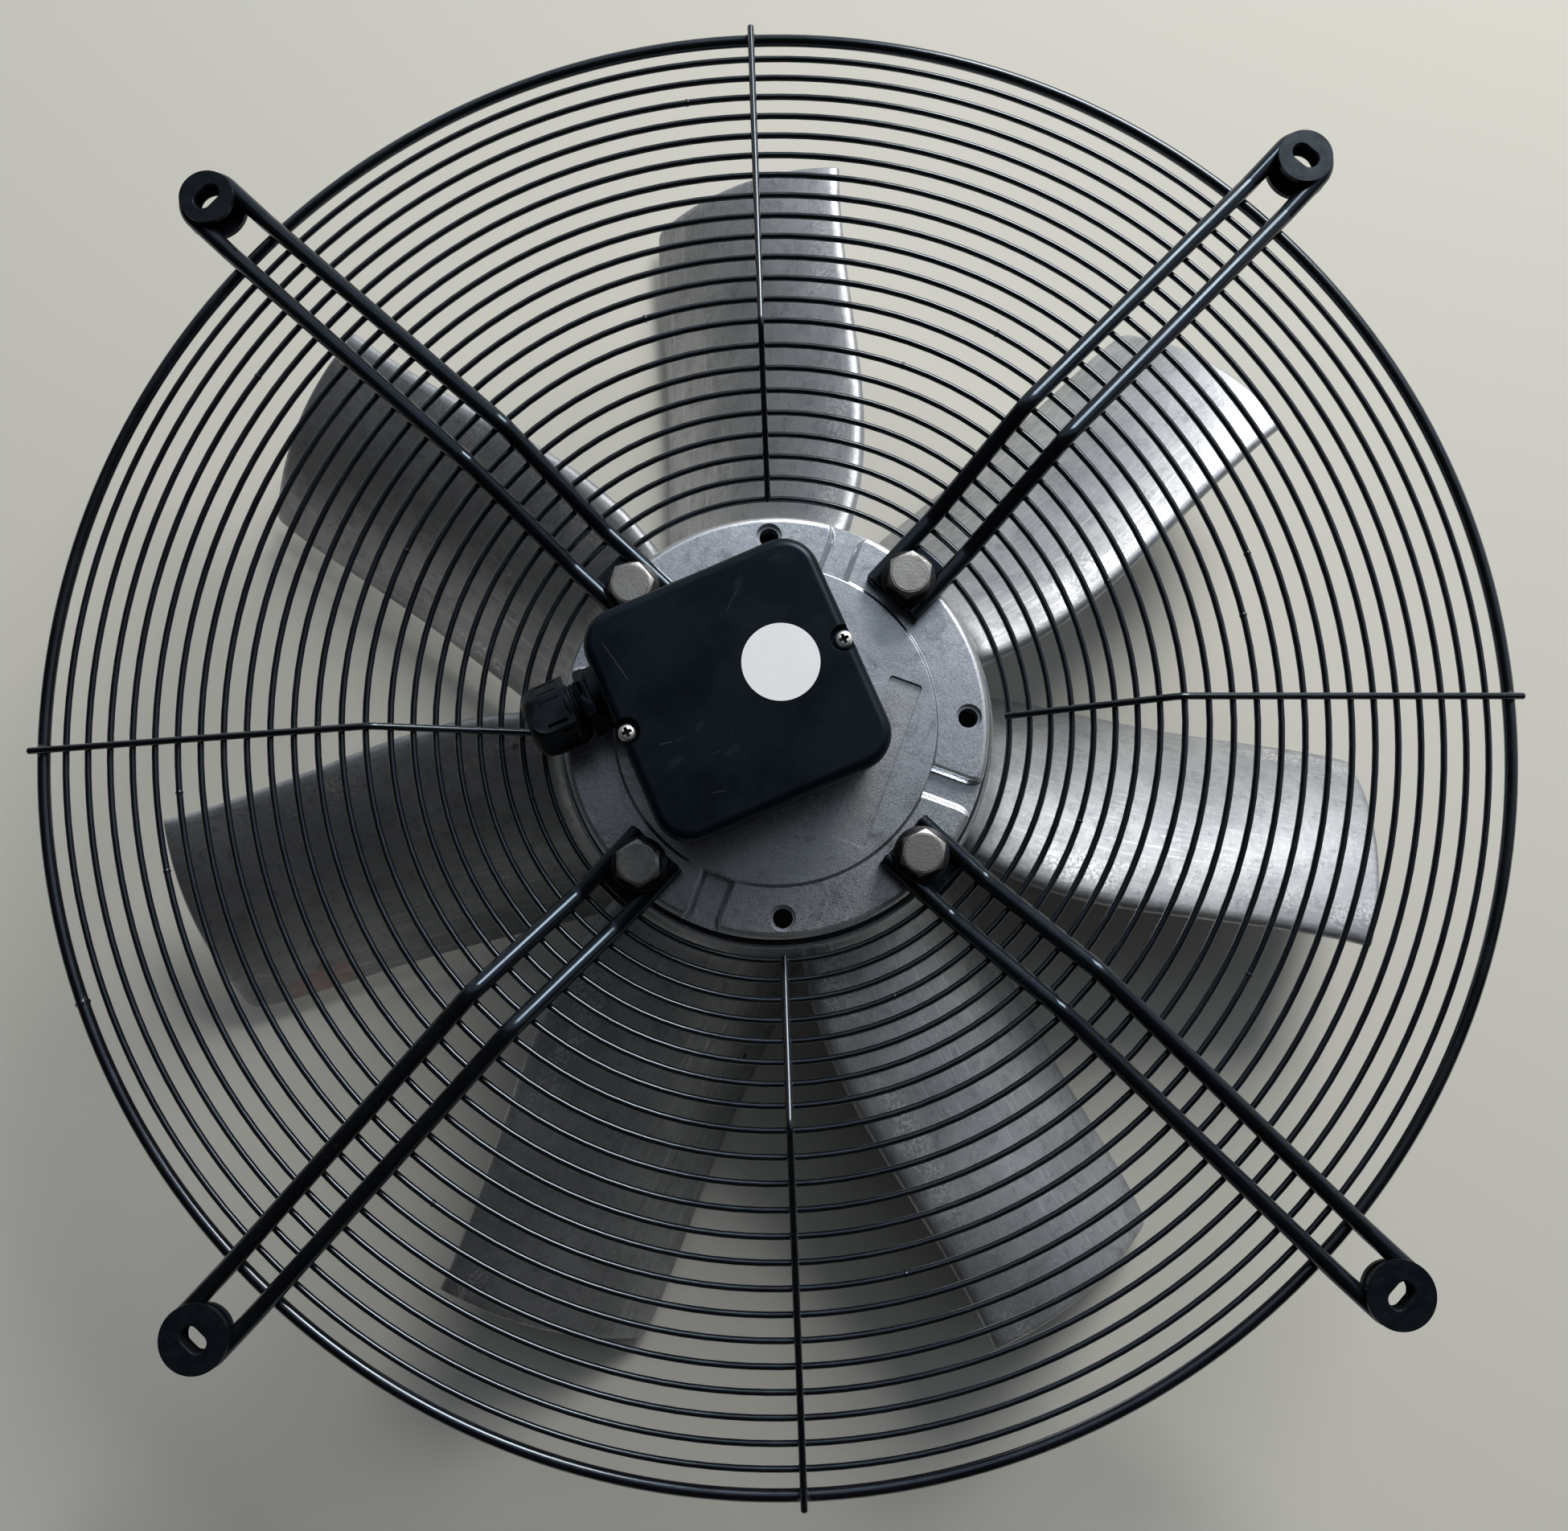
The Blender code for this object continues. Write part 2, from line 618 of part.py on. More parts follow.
def flange_mesh():
    """The motor's fixed flange, with its raised disc, screw holes and radial channels."""
    under = FLANGE_TOP - FLANGE_RIM
    disc = FLANGE_TOP + DISC_RISE
    outline = [
        (0, disc), (DISC_R - DISC_RISE, disc), (DISC_R, FLANGE_TOP),
        (FLANGE_R - FLANGE_EDGE, FLANGE_TOP), (FLANGE_R, FLANGE_TOP - FLANGE_EDGE),
        (FLANGE_R, under), (0, under)]
    body = turned(outline, BIG_SIDES)
    cutters = bmesh.new()
    for i in range(HOLE_COUNT):
        centre = polar(HOLE_PITCH_R, FULL_TURN * i / HOLE_COUNT)[:2]
        if i % 2:
            shapes = [drill(BOLT_D / 2 + SEAT_GAP, under - OVERRUN, disc + OVERRUN, centre)]
        else:
            step = FLANGE_TOP - FREE_HOLE_STEP
            wide = drill(FREE_HOLE_R, step, disc + OVERRUN, centre)
            narrow = drill(FREE_HOLE_INNER_R, under - OVERRUN, step + DISC_RISE, centre)
            shapes = [combine('UNION', wide, narrow)]
        for shape in shapes:
            cutters.from_mesh(shape)
    groove = block(DISC_R, FLANGE_R + OVERRUN, -CHANNEL_W / 2, CHANNEL_W / 2,
                   FLANGE_TOP - CHANNEL_DEPTH, disc + OVERRUN)
    for i in range(CHANNEL_COUNT):
        angle = CHANNEL_ANGLE + FULL_TURN * i / CHANNEL_COUNT
        cutters.from_mesh(moved(groove, Matrix.Rotation(angle, 4, 'Z')))
    panel = block(PANEL_R - PANEL_W / 2, PANEL_R + PANEL_W / 2, -PANEL_L / 2, PANEL_L / 2,
                  disc - PANEL_DEPTH, disc + OVERRUN)
    cutters.from_mesh(moved(panel, Matrix.Rotation(CHANNEL_ANGLE, 4, 'Z')))
    passage = drill(WIRE_PASS_R, under - OVERRUN, disc + OVERRUN, (WIRE_PASS_U, WIRE_PASS_V))
    cutters.from_mesh(moved(passage, Matrix.Rotation(BOX_TURN, 4, 'Z')))
    return combine('DIFFERENCE', body, to_mesh(cutters))


def bearing_tube_mesh():
    """Tube under the flange that carries the stator iron outside and both bearings inside."""
    top = FLANGE_TOP - FLANGE_RIM - SEAT_GAP
    low = FLANGE_TOP - FLANGE_RIM - TUBE_L
    bore = (BEARING_R + SEAT_GAP) / cos(HALF_TURN / TUBE_SIDES)
    shoulder_r = bore - SPRING_W
    shoulder = upper_bearing_top() + SPRING_H + 2 * SEAT_GAP
    outline = [
        (shoulder_r, top), (TUBE_COLLAR_R, top), (TUBE_COLLAR_R, top - TUBE_COLLAR_H),
        (TUBE_R, top - TUBE_COLLAR_H), (TUBE_R, low), (bore, low), (bore, shoulder),
        (shoulder_r, shoulder)]
    return turned(outline, TUBE_SIDES)


def bearing_ring(inner, outer, height, sides=BEARING_SIDES):
    return turned([(inner, 0), (outer, 0), (outer, height), (inner, height)], sides)


def shaft_mesh():
    low = SEAT_GAP
    top = FLANGE_TOP - FLANGE_RIM - RUN_GAP
    clip_low = upper_bearing_top() + SEAT_GAP
    clip_top = clip_low + CLIP_H
    groove = SHAFT_R - GROOVE_DEPTH
    outline = [(0, low), (SHAFT_R - SHAFT_EDGE, low), (SHAFT_R, low + SHAFT_EDGE),
               (SHAFT_R, clip_low - SEAT_GAP), (groove, clip_low - SEAT_GAP),
               (groove, clip_top + SEAT_GAP), (SHAFT_R, clip_top + SEAT_GAP),
               (SHAFT_R, top - SHAFT_EDGE), (SHAFT_R - SHAFT_EDGE, top), (0, top)]
    return turned(outline, BEARING_SIDES)


def upper_bearing_top():
    return FLANGE_TOP - FLANGE_RIM - UPPER_BEARING_DROP


def lower_bearing_top():
    return FLANGE_TOP - FLANGE_RIM - LOWER_BEARING_DROP


def core_top():
    return FLANGE_TOP - FLANGE_RIM - CORE_TOP_DROP


def core_mesh():
    """Laminated stator with open slots round its outside."""
    outline = []
    half = asin(SLOT_W / 2 / CORE_R)
    deep = CORE_R - SLOT_DEPTH
    deep_half = asin(SLOT_W / 2 / deep)
    for i in range(SLOT_COUNT):
        middle = FULL_TURN * i / SLOT_COUNT
        for radius, angle in ((CORE_R, -half), (deep, -deep_half), (deep, deep_half), (CORE_R, half)):
            outline.append(tuple(polar(radius, middle + angle)[:2]))
    core = prism(outline, core_top() - CORE_H, core_top())
    bore = drill(TUBE_R + SEAT_GAP, core_top() - CORE_H - OVERRUN, core_top() + OVERRUN,
                 sides=BIG_SIDES)
    return combine('DIFFERENCE', core, bore)


def coil_mesh():
    """One winding head, a taped ring of copper with rounded shoulders."""
    outline = [(COIL_INNER_R, 0), (COIL_OUTER_R, 0), (COIL_OUTER_R, COIL_H - COIL_EDGE),
               (COIL_OUTER_R - COIL_EDGE, COIL_H), (COIL_INNER_R, COIL_H)]
    return turned(outline, TUBE_SIDES)


def rotor_shell_mesh():
    """Deep cup that carries the rotor iron, closed at the bottom round a boss for the shaft."""
    top = FLANGE_TOP - FLANGE_RIM - RUN_GAP
    inside = ROTOR_R - ROTOR_WALL
    bore = (SHAFT_R + SEAT_GAP) / cos(HALF_TURN / BIG_SIDES)
    boss = lower_bearing_top() - BEARING_H - SEAT_GAP
    edge = ROTOR_EDGE
    neck = BEARING_INNER_LAND_R - SEAT_GAP
    outline = [
        (bore, 0), (ROTOR_R - edge, 0), (ROTOR_R, edge), (ROTOR_R, top), (inside, top),
        (inside, edge), (inside - edge + ROTOR_FLOOR / 2, ROTOR_FLOOR),
        (BOSS_R, ROTOR_FLOOR), (neck, boss), (bore, boss)]
    return turned(outline, BIG_SIDES)


def hub_ring_mesh():
    top = FLANGE_TOP - HUB_TOP_DROP
    bore = ROTOR_R + SEAT_GAP
    outline = [(bore, HUB_BOTTOM), (HUB_R, HUB_BOTTOM), (HUB_R, top - HUB_STEP_H),
               (HUB_R - HUB_STEP_W, top - HUB_STEP_H), (HUB_R - HUB_STEP_W, top), (bore, top)]
    return turned(outline, BIG_SIDES)


def cage_mesh():
    outer = ROTOR_R - ROTOR_WALL - SEAT_GAP
    inner = (outer - CAGE_T) / cos(HALF_TURN / BIG_SIDES)
    low = core_top() - CORE_H - CAGE_OVERHANG
    high = core_top() + CAGE_OVERHANG
    return turned([(inner, low), (outer, low), (outer, high), (inner, high)], BIG_SIDES)


def blend(first, last, share):
    return first + (last - first) * share


def blade_section(span, lead_sweep, trail_sweep):
    """One cambered section, wrapped on the cylinder of its radius."""
    root = HUB_R + 2 * SEAT_GAP
    radius = blend(root, TIP_R, span)
    lead = Vector((radius * blend(LEAD_ROOT_ANGLE, LEAD_TIP_ANGLE, lead_sweep),
                   blend(LEAD_ROOT_Z, LEAD_TIP_Z, span)))
    trail = Vector((radius * blend(TRAIL_ROOT_ANGLE, TRAIL_TIP_ANGLE, trail_sweep), TRAIL_Z))
    chord = trail - lead
    normal = Vector((-chord.y, chord.x)).normalized()
    thickness = blend(BLADE_ROOT_T, BLADE_TIP_T, span)
    upper, lower = [], []
    for along, thick in SECTION_SHARES:
        bow = 4 * CAMBER_SHARE * chord.length * along * (1 - along)
        middle = lead + chord * along + normal * bow
        slope = chord + normal * 4 * CAMBER_SHARE * chord.length * (1 - 2 * along)
        across = Vector((-slope.y, slope.x)).normalized()
        half = across * thickness * thick / 2
        upper.append(middle + half)
        lower.append(middle - half)
    ring = upper + lower[::-1]
    return [polar(radius, QUARTER + point.x / radius, point.y) for point in ring]


def blade_mesh():
    return loft([blade_section(*shares) for shares in STATION_SHARES])


def box_foot():
    return FLANGE_TOP + DISC_RISE + SEAT_GAP


def box_screws():
    return ((BOX_RIGHT - SCREW_INSET, SCREW_V), (BOX_LEFT + SCREW_INSET, SCREW_V))


def box_cavity(low, high):
    """The hollow inside the box's walls, which leaves a pillar round each lid screw."""
    hollow = prism(rounded_box(BOX_WALL + BOX_DRAFT), low, high)
    pillars = bmesh.new()
    for centre in box_screws():
        pillars.from_mesh(drill(PILLAR_R, low - OVERRUN, high + OVERRUN, centre))
    return combine('DIFFERENCE', hollow, to_mesh(pillars))


def screw_holes(low, high):
    bm = bmesh.new()
    for centre in box_screws():
        bm.from_mesh(drill(SCREW_D / 2 + SEAT_GAP, low, high, centre))
    return to_mesh(bm)


def gland_axis():
    """Turns a shape's +Z into the gland's outward direction, in the box's own frame."""
    lift = Matrix.Translation((BOX_LEFT, GLAND_V, FLANGE_TOP + GLAND_RISE))
    return lift @ Matrix.Rotation(-QUARTER, 4, 'Y')


def base_mesh():
    """Drafted tray with a floor, two screw pillars and a boss for the cable gland."""
    low, high = box_foot(), box_foot() + BASE_H
    foot = [(x, y, low) for x, y in rounded_box(BOX_DRAFT)]
    rim = [(x, y, high) for x, y in rounded_box(GASKET_INSET)]
    bm = bmesh.new()
    rows = [[bm.verts.new(point) for point in ring] for ring in (foot, rim)]
    for i in range(len(foot)):
        j = (i + 1) % len(foot)
        bm.faces.new((rows[0][i], rows[0][j], rows[1][j], rows[1][i]))
    bm.faces.new(rows[0][::-1])
    bm.faces.new(rows[1])
    tray = to_mesh(bm)
    boss = drill(GLAND_BOSS_R, -BOX_WALL, GLAND_BOSS_L, sides=BOSS_SIDES)
    tray = combine('UNION', tray, moved(boss, gland_axis()))
    tray = combine('DIFFERENCE', tray, box_cavity(low + BOX_WALL, high + OVERRUN))
    bore = drill(GLAND_THREAD_R + SEAT_GAP, -BOX_CORNER_R, GLAND_BOSS_L + OVERRUN)
    tray = combine('DIFFERENCE', tray, moved(bore, gland_axis()))
    passage = drill(WIRE_PASS_R, low - OVERRUN, low + BOX_WALL + OVERRUN, (WIRE_PASS_U, WIRE_PASS_V))
    tray = combine('DIFFERENCE', tray, passage)
    return combine('DIFFERENCE', tray, screw_holes(low + BOX_WALL, high + OVERRUN))


def gasket_mesh():
    low = box_foot() + BASE_H + SEAT_GAP
    high = low + GASKET_T
    ring = prism(rounded_box(2 * GASKET_INSET), low, high)
    ring = combine('DIFFERENCE', ring, box_cavity(low - OVERRUN, high + OVERRUN))
    return combine('DIFFERENCE', ring, screw_holes(low - OVERRUN, high + OVERRUN))


def lid_mesh():
    """Shallow cap with a rounded top edge and a round notch over each screw."""
    low = box_foot() + BASE_H + GASKET_T + 2 * SEAT_GAP
    high = low + LID_H
    bm = bmesh.new()
    rows = []
    for inset, height in ((0, low), (0, high - LID_EDGE),
                          (LID_EDGE * (1 - cos(QUARTER / 2)), high - LID_EDGE * (1 - sin(QUARTER / 2))),
                          (LID_EDGE, high)):
        rows.append([bm.verts.new((x, y, height)) for x, y in rounded_box(inset)])
    for lower, upper in zip(rows, rows[1:]):
        for i in range(len(lower)):
            j = (i + 1) % len(lower)
            bm.faces.new((lower[i], lower[j], upper[j], upper[i]))
    bm.faces.new(rows[0][::-1])
    bm.faces.new(rows[-1])
    cap = to_mesh(bm)
    cap = combine('DIFFERENCE', cap, box_cavity(low - OVERRUN, high - LID_TOP_T))
    notches = bmesh.new()
    for centre in box_screws():
        notches.from_mesh(drill(NOTCH_R, high - NOTCH_DEPTH, high + OVERRUN, centre, BOSS_SIDES))
    cap = combine('DIFFERENCE', cap, to_mesh(notches))
    return combine('DIFFERENCE', cap, screw_holes(low - OVERRUN, high + OVERRUN))


def lid_screw_seat():
    return box_foot() + BASE_H + GASKET_T + 2 * SEAT_GAP + LID_H - NOTCH_DEPTH + SEAT_GAP


def lid_screw_mesh():
    outline = [(0, -SCREW_L), (SCREW_D / 2, -SCREW_L), (SCREW_D / 2, 0), (SCREW_HEAD_D / 2, 0),
               (SCREW_HEAD_D / 2, SCREW_HEAD_H / 2), (SCREW_HEAD_D / 3, SCREW_HEAD_H),
               (0, SCREW_HEAD_H)]
    return turned(outline, SMALL_SIDES)


def terminal_mesh():
    """Row of wire clamps between raised ribs."""
    low = 0
    pitch = (TERMINAL_L - TERMINAL_RIB) / TERMINAL_WAYS
    outline = [(0, low), (TERMINAL_L, low)]
    for i in range(TERMINAL_WAYS, -1, -1):
        right = i * pitch + TERMINAL_RIB
        left = i * pitch
        outline += [(right, TERMINAL_H), (left, TERMINAL_H)]
        if i:
            before = (i - 1) * pitch + TERMINAL_RIB
            outline += [(left, TERMINAL_H - TERMINAL_STEP), (before, TERMINAL_H - TERMINAL_STEP)]
    row = prism(outline, -TERMINAL_W / 2, TERMINAL_W / 2)
    return moved(row, Matrix.Translation((-TERMINAL_L / 2, 0, 0)) @ Matrix.Rotation(QUARTER, 4, 'X'))


def hexagon_turned(outline, across_flats):
    """Turns an outline about Z and trims it to a hexagon, as a bar of that size would be."""
    half = across_flats / 2
    sides = 3 * 6
    rings = []
    for radius, height in outline:
        ring = []
        for i in range(sides):
            angle = FULL_TURN * i / sides
            from_flat = (angle + HALF_TURN / 6) % (FULL_TURN / 6) - HALF_TURN / 6
            ring.append(polar(min(radius, half / cos(from_flat)), angle, height))
        rings.append(ring)
    bm = bmesh.new()
    rows = [[bm.verts.new(point) for point in ring] for ring in rings]
    rows.append(rows[0])
    for lower, upper in zip(rows, rows[1:]):
        for i in range(sides):
            j = (i + 1) % sides
            bm.faces.new((lower[i], lower[j], upper[j], upper[i]))
    return to_mesh(bm)


def gland_body_mesh():
    flange = GLAND_BOSS_L + SEAT_GAP
    shoulder = flange + GLAND_FLANGE_T
    end = shoulder + GLAND_THREAD_L
    low = -BOX_WALL - BOX_DRAFT - GLAND_INSIDE_L
    seal = SEAL_BORE_R + SEAL_WALL + SEAT_GAP
    corner = GLAND_FLANGE_AF / 2 / cos(HALF_TURN / 6)
    outline = [(GLAND_BORE_R, low), (GLAND_THREAD_R, low), (GLAND_THREAD_R, flange),
               (corner, flange), (corner, shoulder), (GLAND_THREAD_R, shoulder),
               (GLAND_THREAD_R, end), (seal, end), (seal, end - SEAL_L + SEAT_GAP),
               (GLAND_BORE_R, end - SEAL_L + SEAT_GAP)]
    return hexagon_turned(outline, GLAND_FLANGE_AF)


def seal_low():
    return GLAND_BOSS_L + 3 * SEAT_GAP + GLAND_FLANGE_T + GLAND_THREAD_L - SEAL_L


def seal_mesh():
    outer = SEAL_BORE_R + SEAL_WALL
    bore = SEAL_BORE_R
    return bearing_ring(bore, outer, SEAL_L)


def gland_nut_mesh():
    """Hexagon dome nut that screws over the gland's thread and presses on its seal."""
    low = GLAND_BOSS_L + SEAT_GAP + GLAND_FLANGE_T + GLAND_NUT_GAP
    shoulder = seal_low() + SEAL_L + SEAT_GAP
    hexagon_top = low + GLAND_NUT_L
    top = hexagon_top + GLAND_DOME_L
    bore = GLAND_THREAD_R + SEAT_GAP
    corner = GLAND_NUT_AF / 2 / cos(HALF_TURN / 6)
    flat = GLAND_NUT_AF / 2
    outline = [(bore, low), (corner, low), (corner, hexagon_top),
               (flat, hexagon_top + GLAND_DOME_L * (1 - cos(QUARTER / 2))),
               (blend(GLAND_MOUTH_R, flat, sin(QUARTER / 2)), top - GLAND_DOME_L / 4),
               (blend(GLAND_MOUTH_R, flat, 1 / 3), top), (GLAND_MOUTH_R, top),
               (GLAND_MOUTH_R, shoulder), (bore, shoulder)]
    return hexagon_turned(outline, GLAND_NUT_AF)


def add_guard(parent, black_wire, plastic, steel, dark_steel):
    place("guard_grille", guard_mesh(), black_wire, parent)
    arm, washer, bolt = arm_mesh(), washer_mesh(), bolt_mesh()
    names = ("upper_right", "upper_left", "lower_left", "lower_right")
    wide_top = bush_mesh(BUSH_LARGE_D, BUSH_SMALL_D)
    wide_low = bush_mesh(BUSH_SMALL_D, BUSH_LARGE_D)
    for i, side in enumerate(names):
        angle = QUARTER / 2 + FULL_TURN * i / ARM_COUNT
        turn = (0, 0, angle)
        place("support_arm_" + side, arm.copy(), black_wire, parent, rotation=turn)
        place("arm_washer_" + side, washer.copy(), dark_steel, parent,
              polar(HOLE_PITCH_R, angle, washer_low()), turn)
        place("arm_bolt_" + side, bolt.copy(), steel, parent,
              polar(HOLE_PITCH_R, angle, washer_low() + WASHER_T + SEAT_GAP), turn)
        bush = wide_low if side.startswith("upper") else wide_top
        place("mounting_bush_" + side, bush.copy(), plastic, parent,
              polar(BUSH_R, angle, FLANGE_TOP + ARM_LOOP_RISE), turn)


def add_stator(parent, cast, steel, iron, copper):
    place("stator_flange", flange_mesh(), cast, parent)
    place("bearing_tube", bearing_tube_mesh(), cast, parent)
    place("stator_core", core_mesh(), iron, parent)
    coil = coil_mesh()
    place("winding_head_upper", coil, copper, parent, (0, 0, core_top() + SEAT_GAP))
    place("winding_head_lower", coil.copy(), copper, parent,
          (0, 0, core_top() - CORE_H - SEAT_GAP), (HALF_TURN, 0, 0))
    race = bearing_ring(BEARING_OUTER_LAND_R, BEARING_R, BEARING_H)
    low = upper_bearing_top() - BEARING_H
    place("bearing_outer_upper", race, steel, parent, (0, 0, low))
    place("bearing_outer_lower", race.copy(), steel, parent, (0, 0, lower_bearing_top() - BEARING_H))
    spring = bearing_ring(BEARING_R - SPRING_W + 2 * SEAT_GAP, BEARING_R, SPRING_H)
    place("preload_spring", spring, steel, parent, (0, 0, upper_bearing_top() + SEAT_GAP))


def add_terminal_box(parent, plastic, rubber, steel, cream):
    turn = (0, 0, BOX_TURN)
    place("terminal_box_base", base_mesh(), plastic, parent, rotation=turn)
    place("lid_gasket", gasket_mesh(), rubber, parent, rotation=turn)
    place("terminal_box_lid", lid_mesh(), plastic, parent, rotation=turn)
    screw = lid_screw_mesh()
    for name, (u, v) in zip(("right", "left"), box_screws()):
        spot = Matrix.Rotation(BOX_TURN, 3, 'Z') @ Vector((u, v, lid_screw_seat()))
        place("lid_screw_" + name, screw.copy(), steel, parent, spot)
    spot = Vector((TERMINAL_U, TERMINAL_V, box_foot() + BOX_WALL + SEAT_GAP))
    place("terminal_block", terminal_mesh(), cream, parent,
          Matrix.Rotation(BOX_TURN, 3, 'Z') @ spot, turn)
    outward = Matrix.Rotation(BOX_TURN, 4, 'Z') @ gland_axis()
    for name, mesh, material, along in (
            ("gland_body", gland_body_mesh(), plastic, 0),
            ("gland_seal", seal_mesh(), rubber, seal_low()),
            ("gland_nut", gland_nut_mesh(), plastic, 0)):
        spot = outward @ Vector((0, 0, along))
        place(name, mesh, material, parent, spot, outward.to_euler())


def add_rotor(parent, cast, steel, iron, painted):
    place("rotor_shell", rotor_shell_mesh(), painted, parent)
    place("rotor_cage", cage_mesh(), iron, parent)
    place("impeller_hub_ring", hub_ring_mesh(), cast, parent)
    place("shaft", shaft_mesh(), steel, parent)
    bore = (SHAFT_R + SEAT_GAP) / cos(HALF_TURN / BEARING_SIDES)
    race = bearing_ring(bore, BEARING_INNER_LAND_R, BEARING_H)
    band = bearing_ring((BEARING_INNER_LAND_R + SEAT_GAP) / cos(HALF_TURN / BEARING_SIDES),
                        BEARING_OUTER_LAND_R * cos(HALF_TURN / BEARING_SIDES) - SEAT_GAP, BALL_BAND_H)
    for name, top in (("upper", upper_bearing_top()), ("lower", lower_bearing_top())):
        place("bearing_inner_" + name, race.copy(), steel, parent, (0, 0, top - BEARING_H))
        place("bearing_balls_" + name, band.copy(), steel, parent,
              (0, 0, top - (BEARING_H + BALL_BAND_H) / 2))
    inner = (SHAFT_R - GROOVE_DEPTH + SEAT_GAP) / cos(HALF_TURN / BEARING_SIDES)
    clip = bearing_ring(inner, inner + CLIP_W, CLIP_H)
    place("shaft_circlip", clip, steel, parent, (0, 0, upper_bearing_top() + SEAT_GAP))
    blade = blade_mesh()
    for i in range(BLADE_COUNT):
        place("blade_%d" % (i + 1), blade.copy(), cast, parent,
              rotation=(0, 0, -FULL_TURN * i / BLADE_COUNT))


def build_fan():
    clear_scene()
    fixed = bpy.data.objects.new("fixed_frame", None)
    turning = bpy.data.objects.new("impeller_axis", None)
    for empty in (fixed, turning):
        bpy.context.scene.collection.objects.link(empty)

    black_wire = finish_material("black_coated_wire", (0.012, 0.013, 0.015), 0.28, 0)
    plastic = finish_material("black_plastic", (0.016, 0.017, 0.022), 0.55, 0)
    rubber = finish_material("black_rubber", (0.020, 0.020, 0.020), 0.85, 0)
    cast = finish_material("raw_cast_aluminium", (0.52, 0.53, 0.55), 0.48, 1)
    steel = finish_material("bright_steel", (0.70, 0.69, 0.66), 0.28, 1)
    dark_steel = finish_material("blackened_steel", (0.04, 0.04, 0.045), 0.45, 1)
    iron = finish_material("laminated_iron", (0.20, 0.20, 0.21), 0.55, 1)
    copper = finish_material("lacquered_copper", (0.55, 0.22, 0.10), 0.45, 1)
    painted = finish_material("black_painted_rotor", (0.030, 0.031, 0.034), 0.50, 0)
    cream = finish_material("cream_plastic", (0.72, 0.68, 0.55), 0.45, 0)

    add_guard(fixed, black_wire, plastic, steel, dark_steel)
    add_stator(fixed, cast, steel, iron, copper)
    add_terminal_box(fixed, plastic, rubber, steel, cream)
    add_rotor(turning, cast, steel, iron, painted)


build_fan()
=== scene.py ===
"""Axial fan with an external-rotor motor, looked at from its guarded intake side.

The pieces are made in the order in which the fan is put together: the turning parts
first, then the motor flange, the wire guard with its arms, and the terminal box.
Lengths are metres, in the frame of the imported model.
"""

from math import atan2, cos, pi, radians, sin, sqrt, tan

import bpy
from mathutils import Matrix, Vector


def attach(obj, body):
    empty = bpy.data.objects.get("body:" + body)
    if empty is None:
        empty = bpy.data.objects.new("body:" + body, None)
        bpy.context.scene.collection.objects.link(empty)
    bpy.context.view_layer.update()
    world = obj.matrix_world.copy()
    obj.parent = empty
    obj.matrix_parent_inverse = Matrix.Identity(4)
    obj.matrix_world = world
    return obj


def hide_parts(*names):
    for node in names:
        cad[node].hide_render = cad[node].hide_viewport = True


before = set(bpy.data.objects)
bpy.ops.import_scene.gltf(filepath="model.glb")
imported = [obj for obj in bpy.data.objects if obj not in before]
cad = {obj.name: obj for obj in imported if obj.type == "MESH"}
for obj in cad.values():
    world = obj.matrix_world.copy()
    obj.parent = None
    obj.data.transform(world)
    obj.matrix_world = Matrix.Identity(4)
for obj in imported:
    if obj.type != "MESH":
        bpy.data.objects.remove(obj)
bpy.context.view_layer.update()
FULL_TURN = 2 * pi


# Rotor cup
# A deep cup of pressed steel that carries the rotor iron, painted black. It is closed
# at the bottom round the boss that grips the shaft. Turned here from its half section.

def pick(piece):
    """Leaves one piece selected and active."""
    bpy.ops.object.select_all(action='DESELECT')
    piece.select_set(True)
    bpy.context.view_layer.objects.active = piece
    return piece


def clean_shell():
    """Merges the doubles of a shell in edit mode and points its faces outwards."""
    bpy.ops.mesh.select_all(action='SELECT')
    bpy.ops.mesh.remove_doubles(threshold=0.000002)
    bpy.ops.mesh.dissolve_degenerate(threshold=0.000001)
    bpy.ops.mesh.normals_make_consistent(inside=False)
    bpy.ops.object.mode_set(mode='OBJECT')


def turn_on_lathe(name, section, steps):
    """Draws a closed half section of (radius, height) points and spins it about Z."""
    bpy.ops.mesh.primitive_plane_add(size=section[0][0] + section[1][0])
    piece = bpy.context.object
    piece.name = piece.data.name = name
    bpy.ops.object.mode_set(mode='EDIT')
    bpy.ops.mesh.select_all(action='SELECT')
    bpy.ops.mesh.merge(type='CENTER')
    bpy.ops.transform.translate(value=(section[0][0], 0, section[0][1]))
    for (r0, z0), (r1, z1) in zip(section, section[1:] + section[:1]):
        bpy.ops.mesh.extrude_region_move(
            TRANSFORM_OT_translate={"value": (r1 - r0, 0, z1 - z0)})
    bpy.ops.mesh.select_all(action='SELECT')
    bpy.ops.mesh.spin(steps=steps, angle=FULL_TURN, center=(0, 0, 0), axis=(0, 0, 1))
    clean_shell()
    return piece


def quarter_round(r, z, radius, start, steps):
    """Points round a quarter circle of the half section, from a start angle in degrees."""
    return [(r + radius * cos(radians(start + 90 * i / steps)),
             z + radius * sin(radians(start + 90 * i / steps))) for i in range(steps + 1)]


def soften(piece, width, segments=2, over=30, edge_finish=0):
    """Rounds the sharp edges. Their faces can take a second finish, as worn edges do."""
    pick(piece)
    bevel = piece.modifiers.new("soft_edges", 'BEVEL')
    bevel.width = width
    bevel.segments = segments
    bevel.limit_method = 'ANGLE'
    bevel.angle_limit = radians(over)
    bevel.material = edge_finish
    bpy.ops.object.modifier_apply(modifier=bevel.name)
    bpy.ops.object.shade_smooth_by_angle(angle=radians(35))
    flatten = piece.modifiers.new("flat_faces_stay_flat", 'WEIGHTED_NORMAL')
    flatten.keep_sharp = True
    bpy.ops.object.modifier_apply(modifier=flatten.name)
    return piece


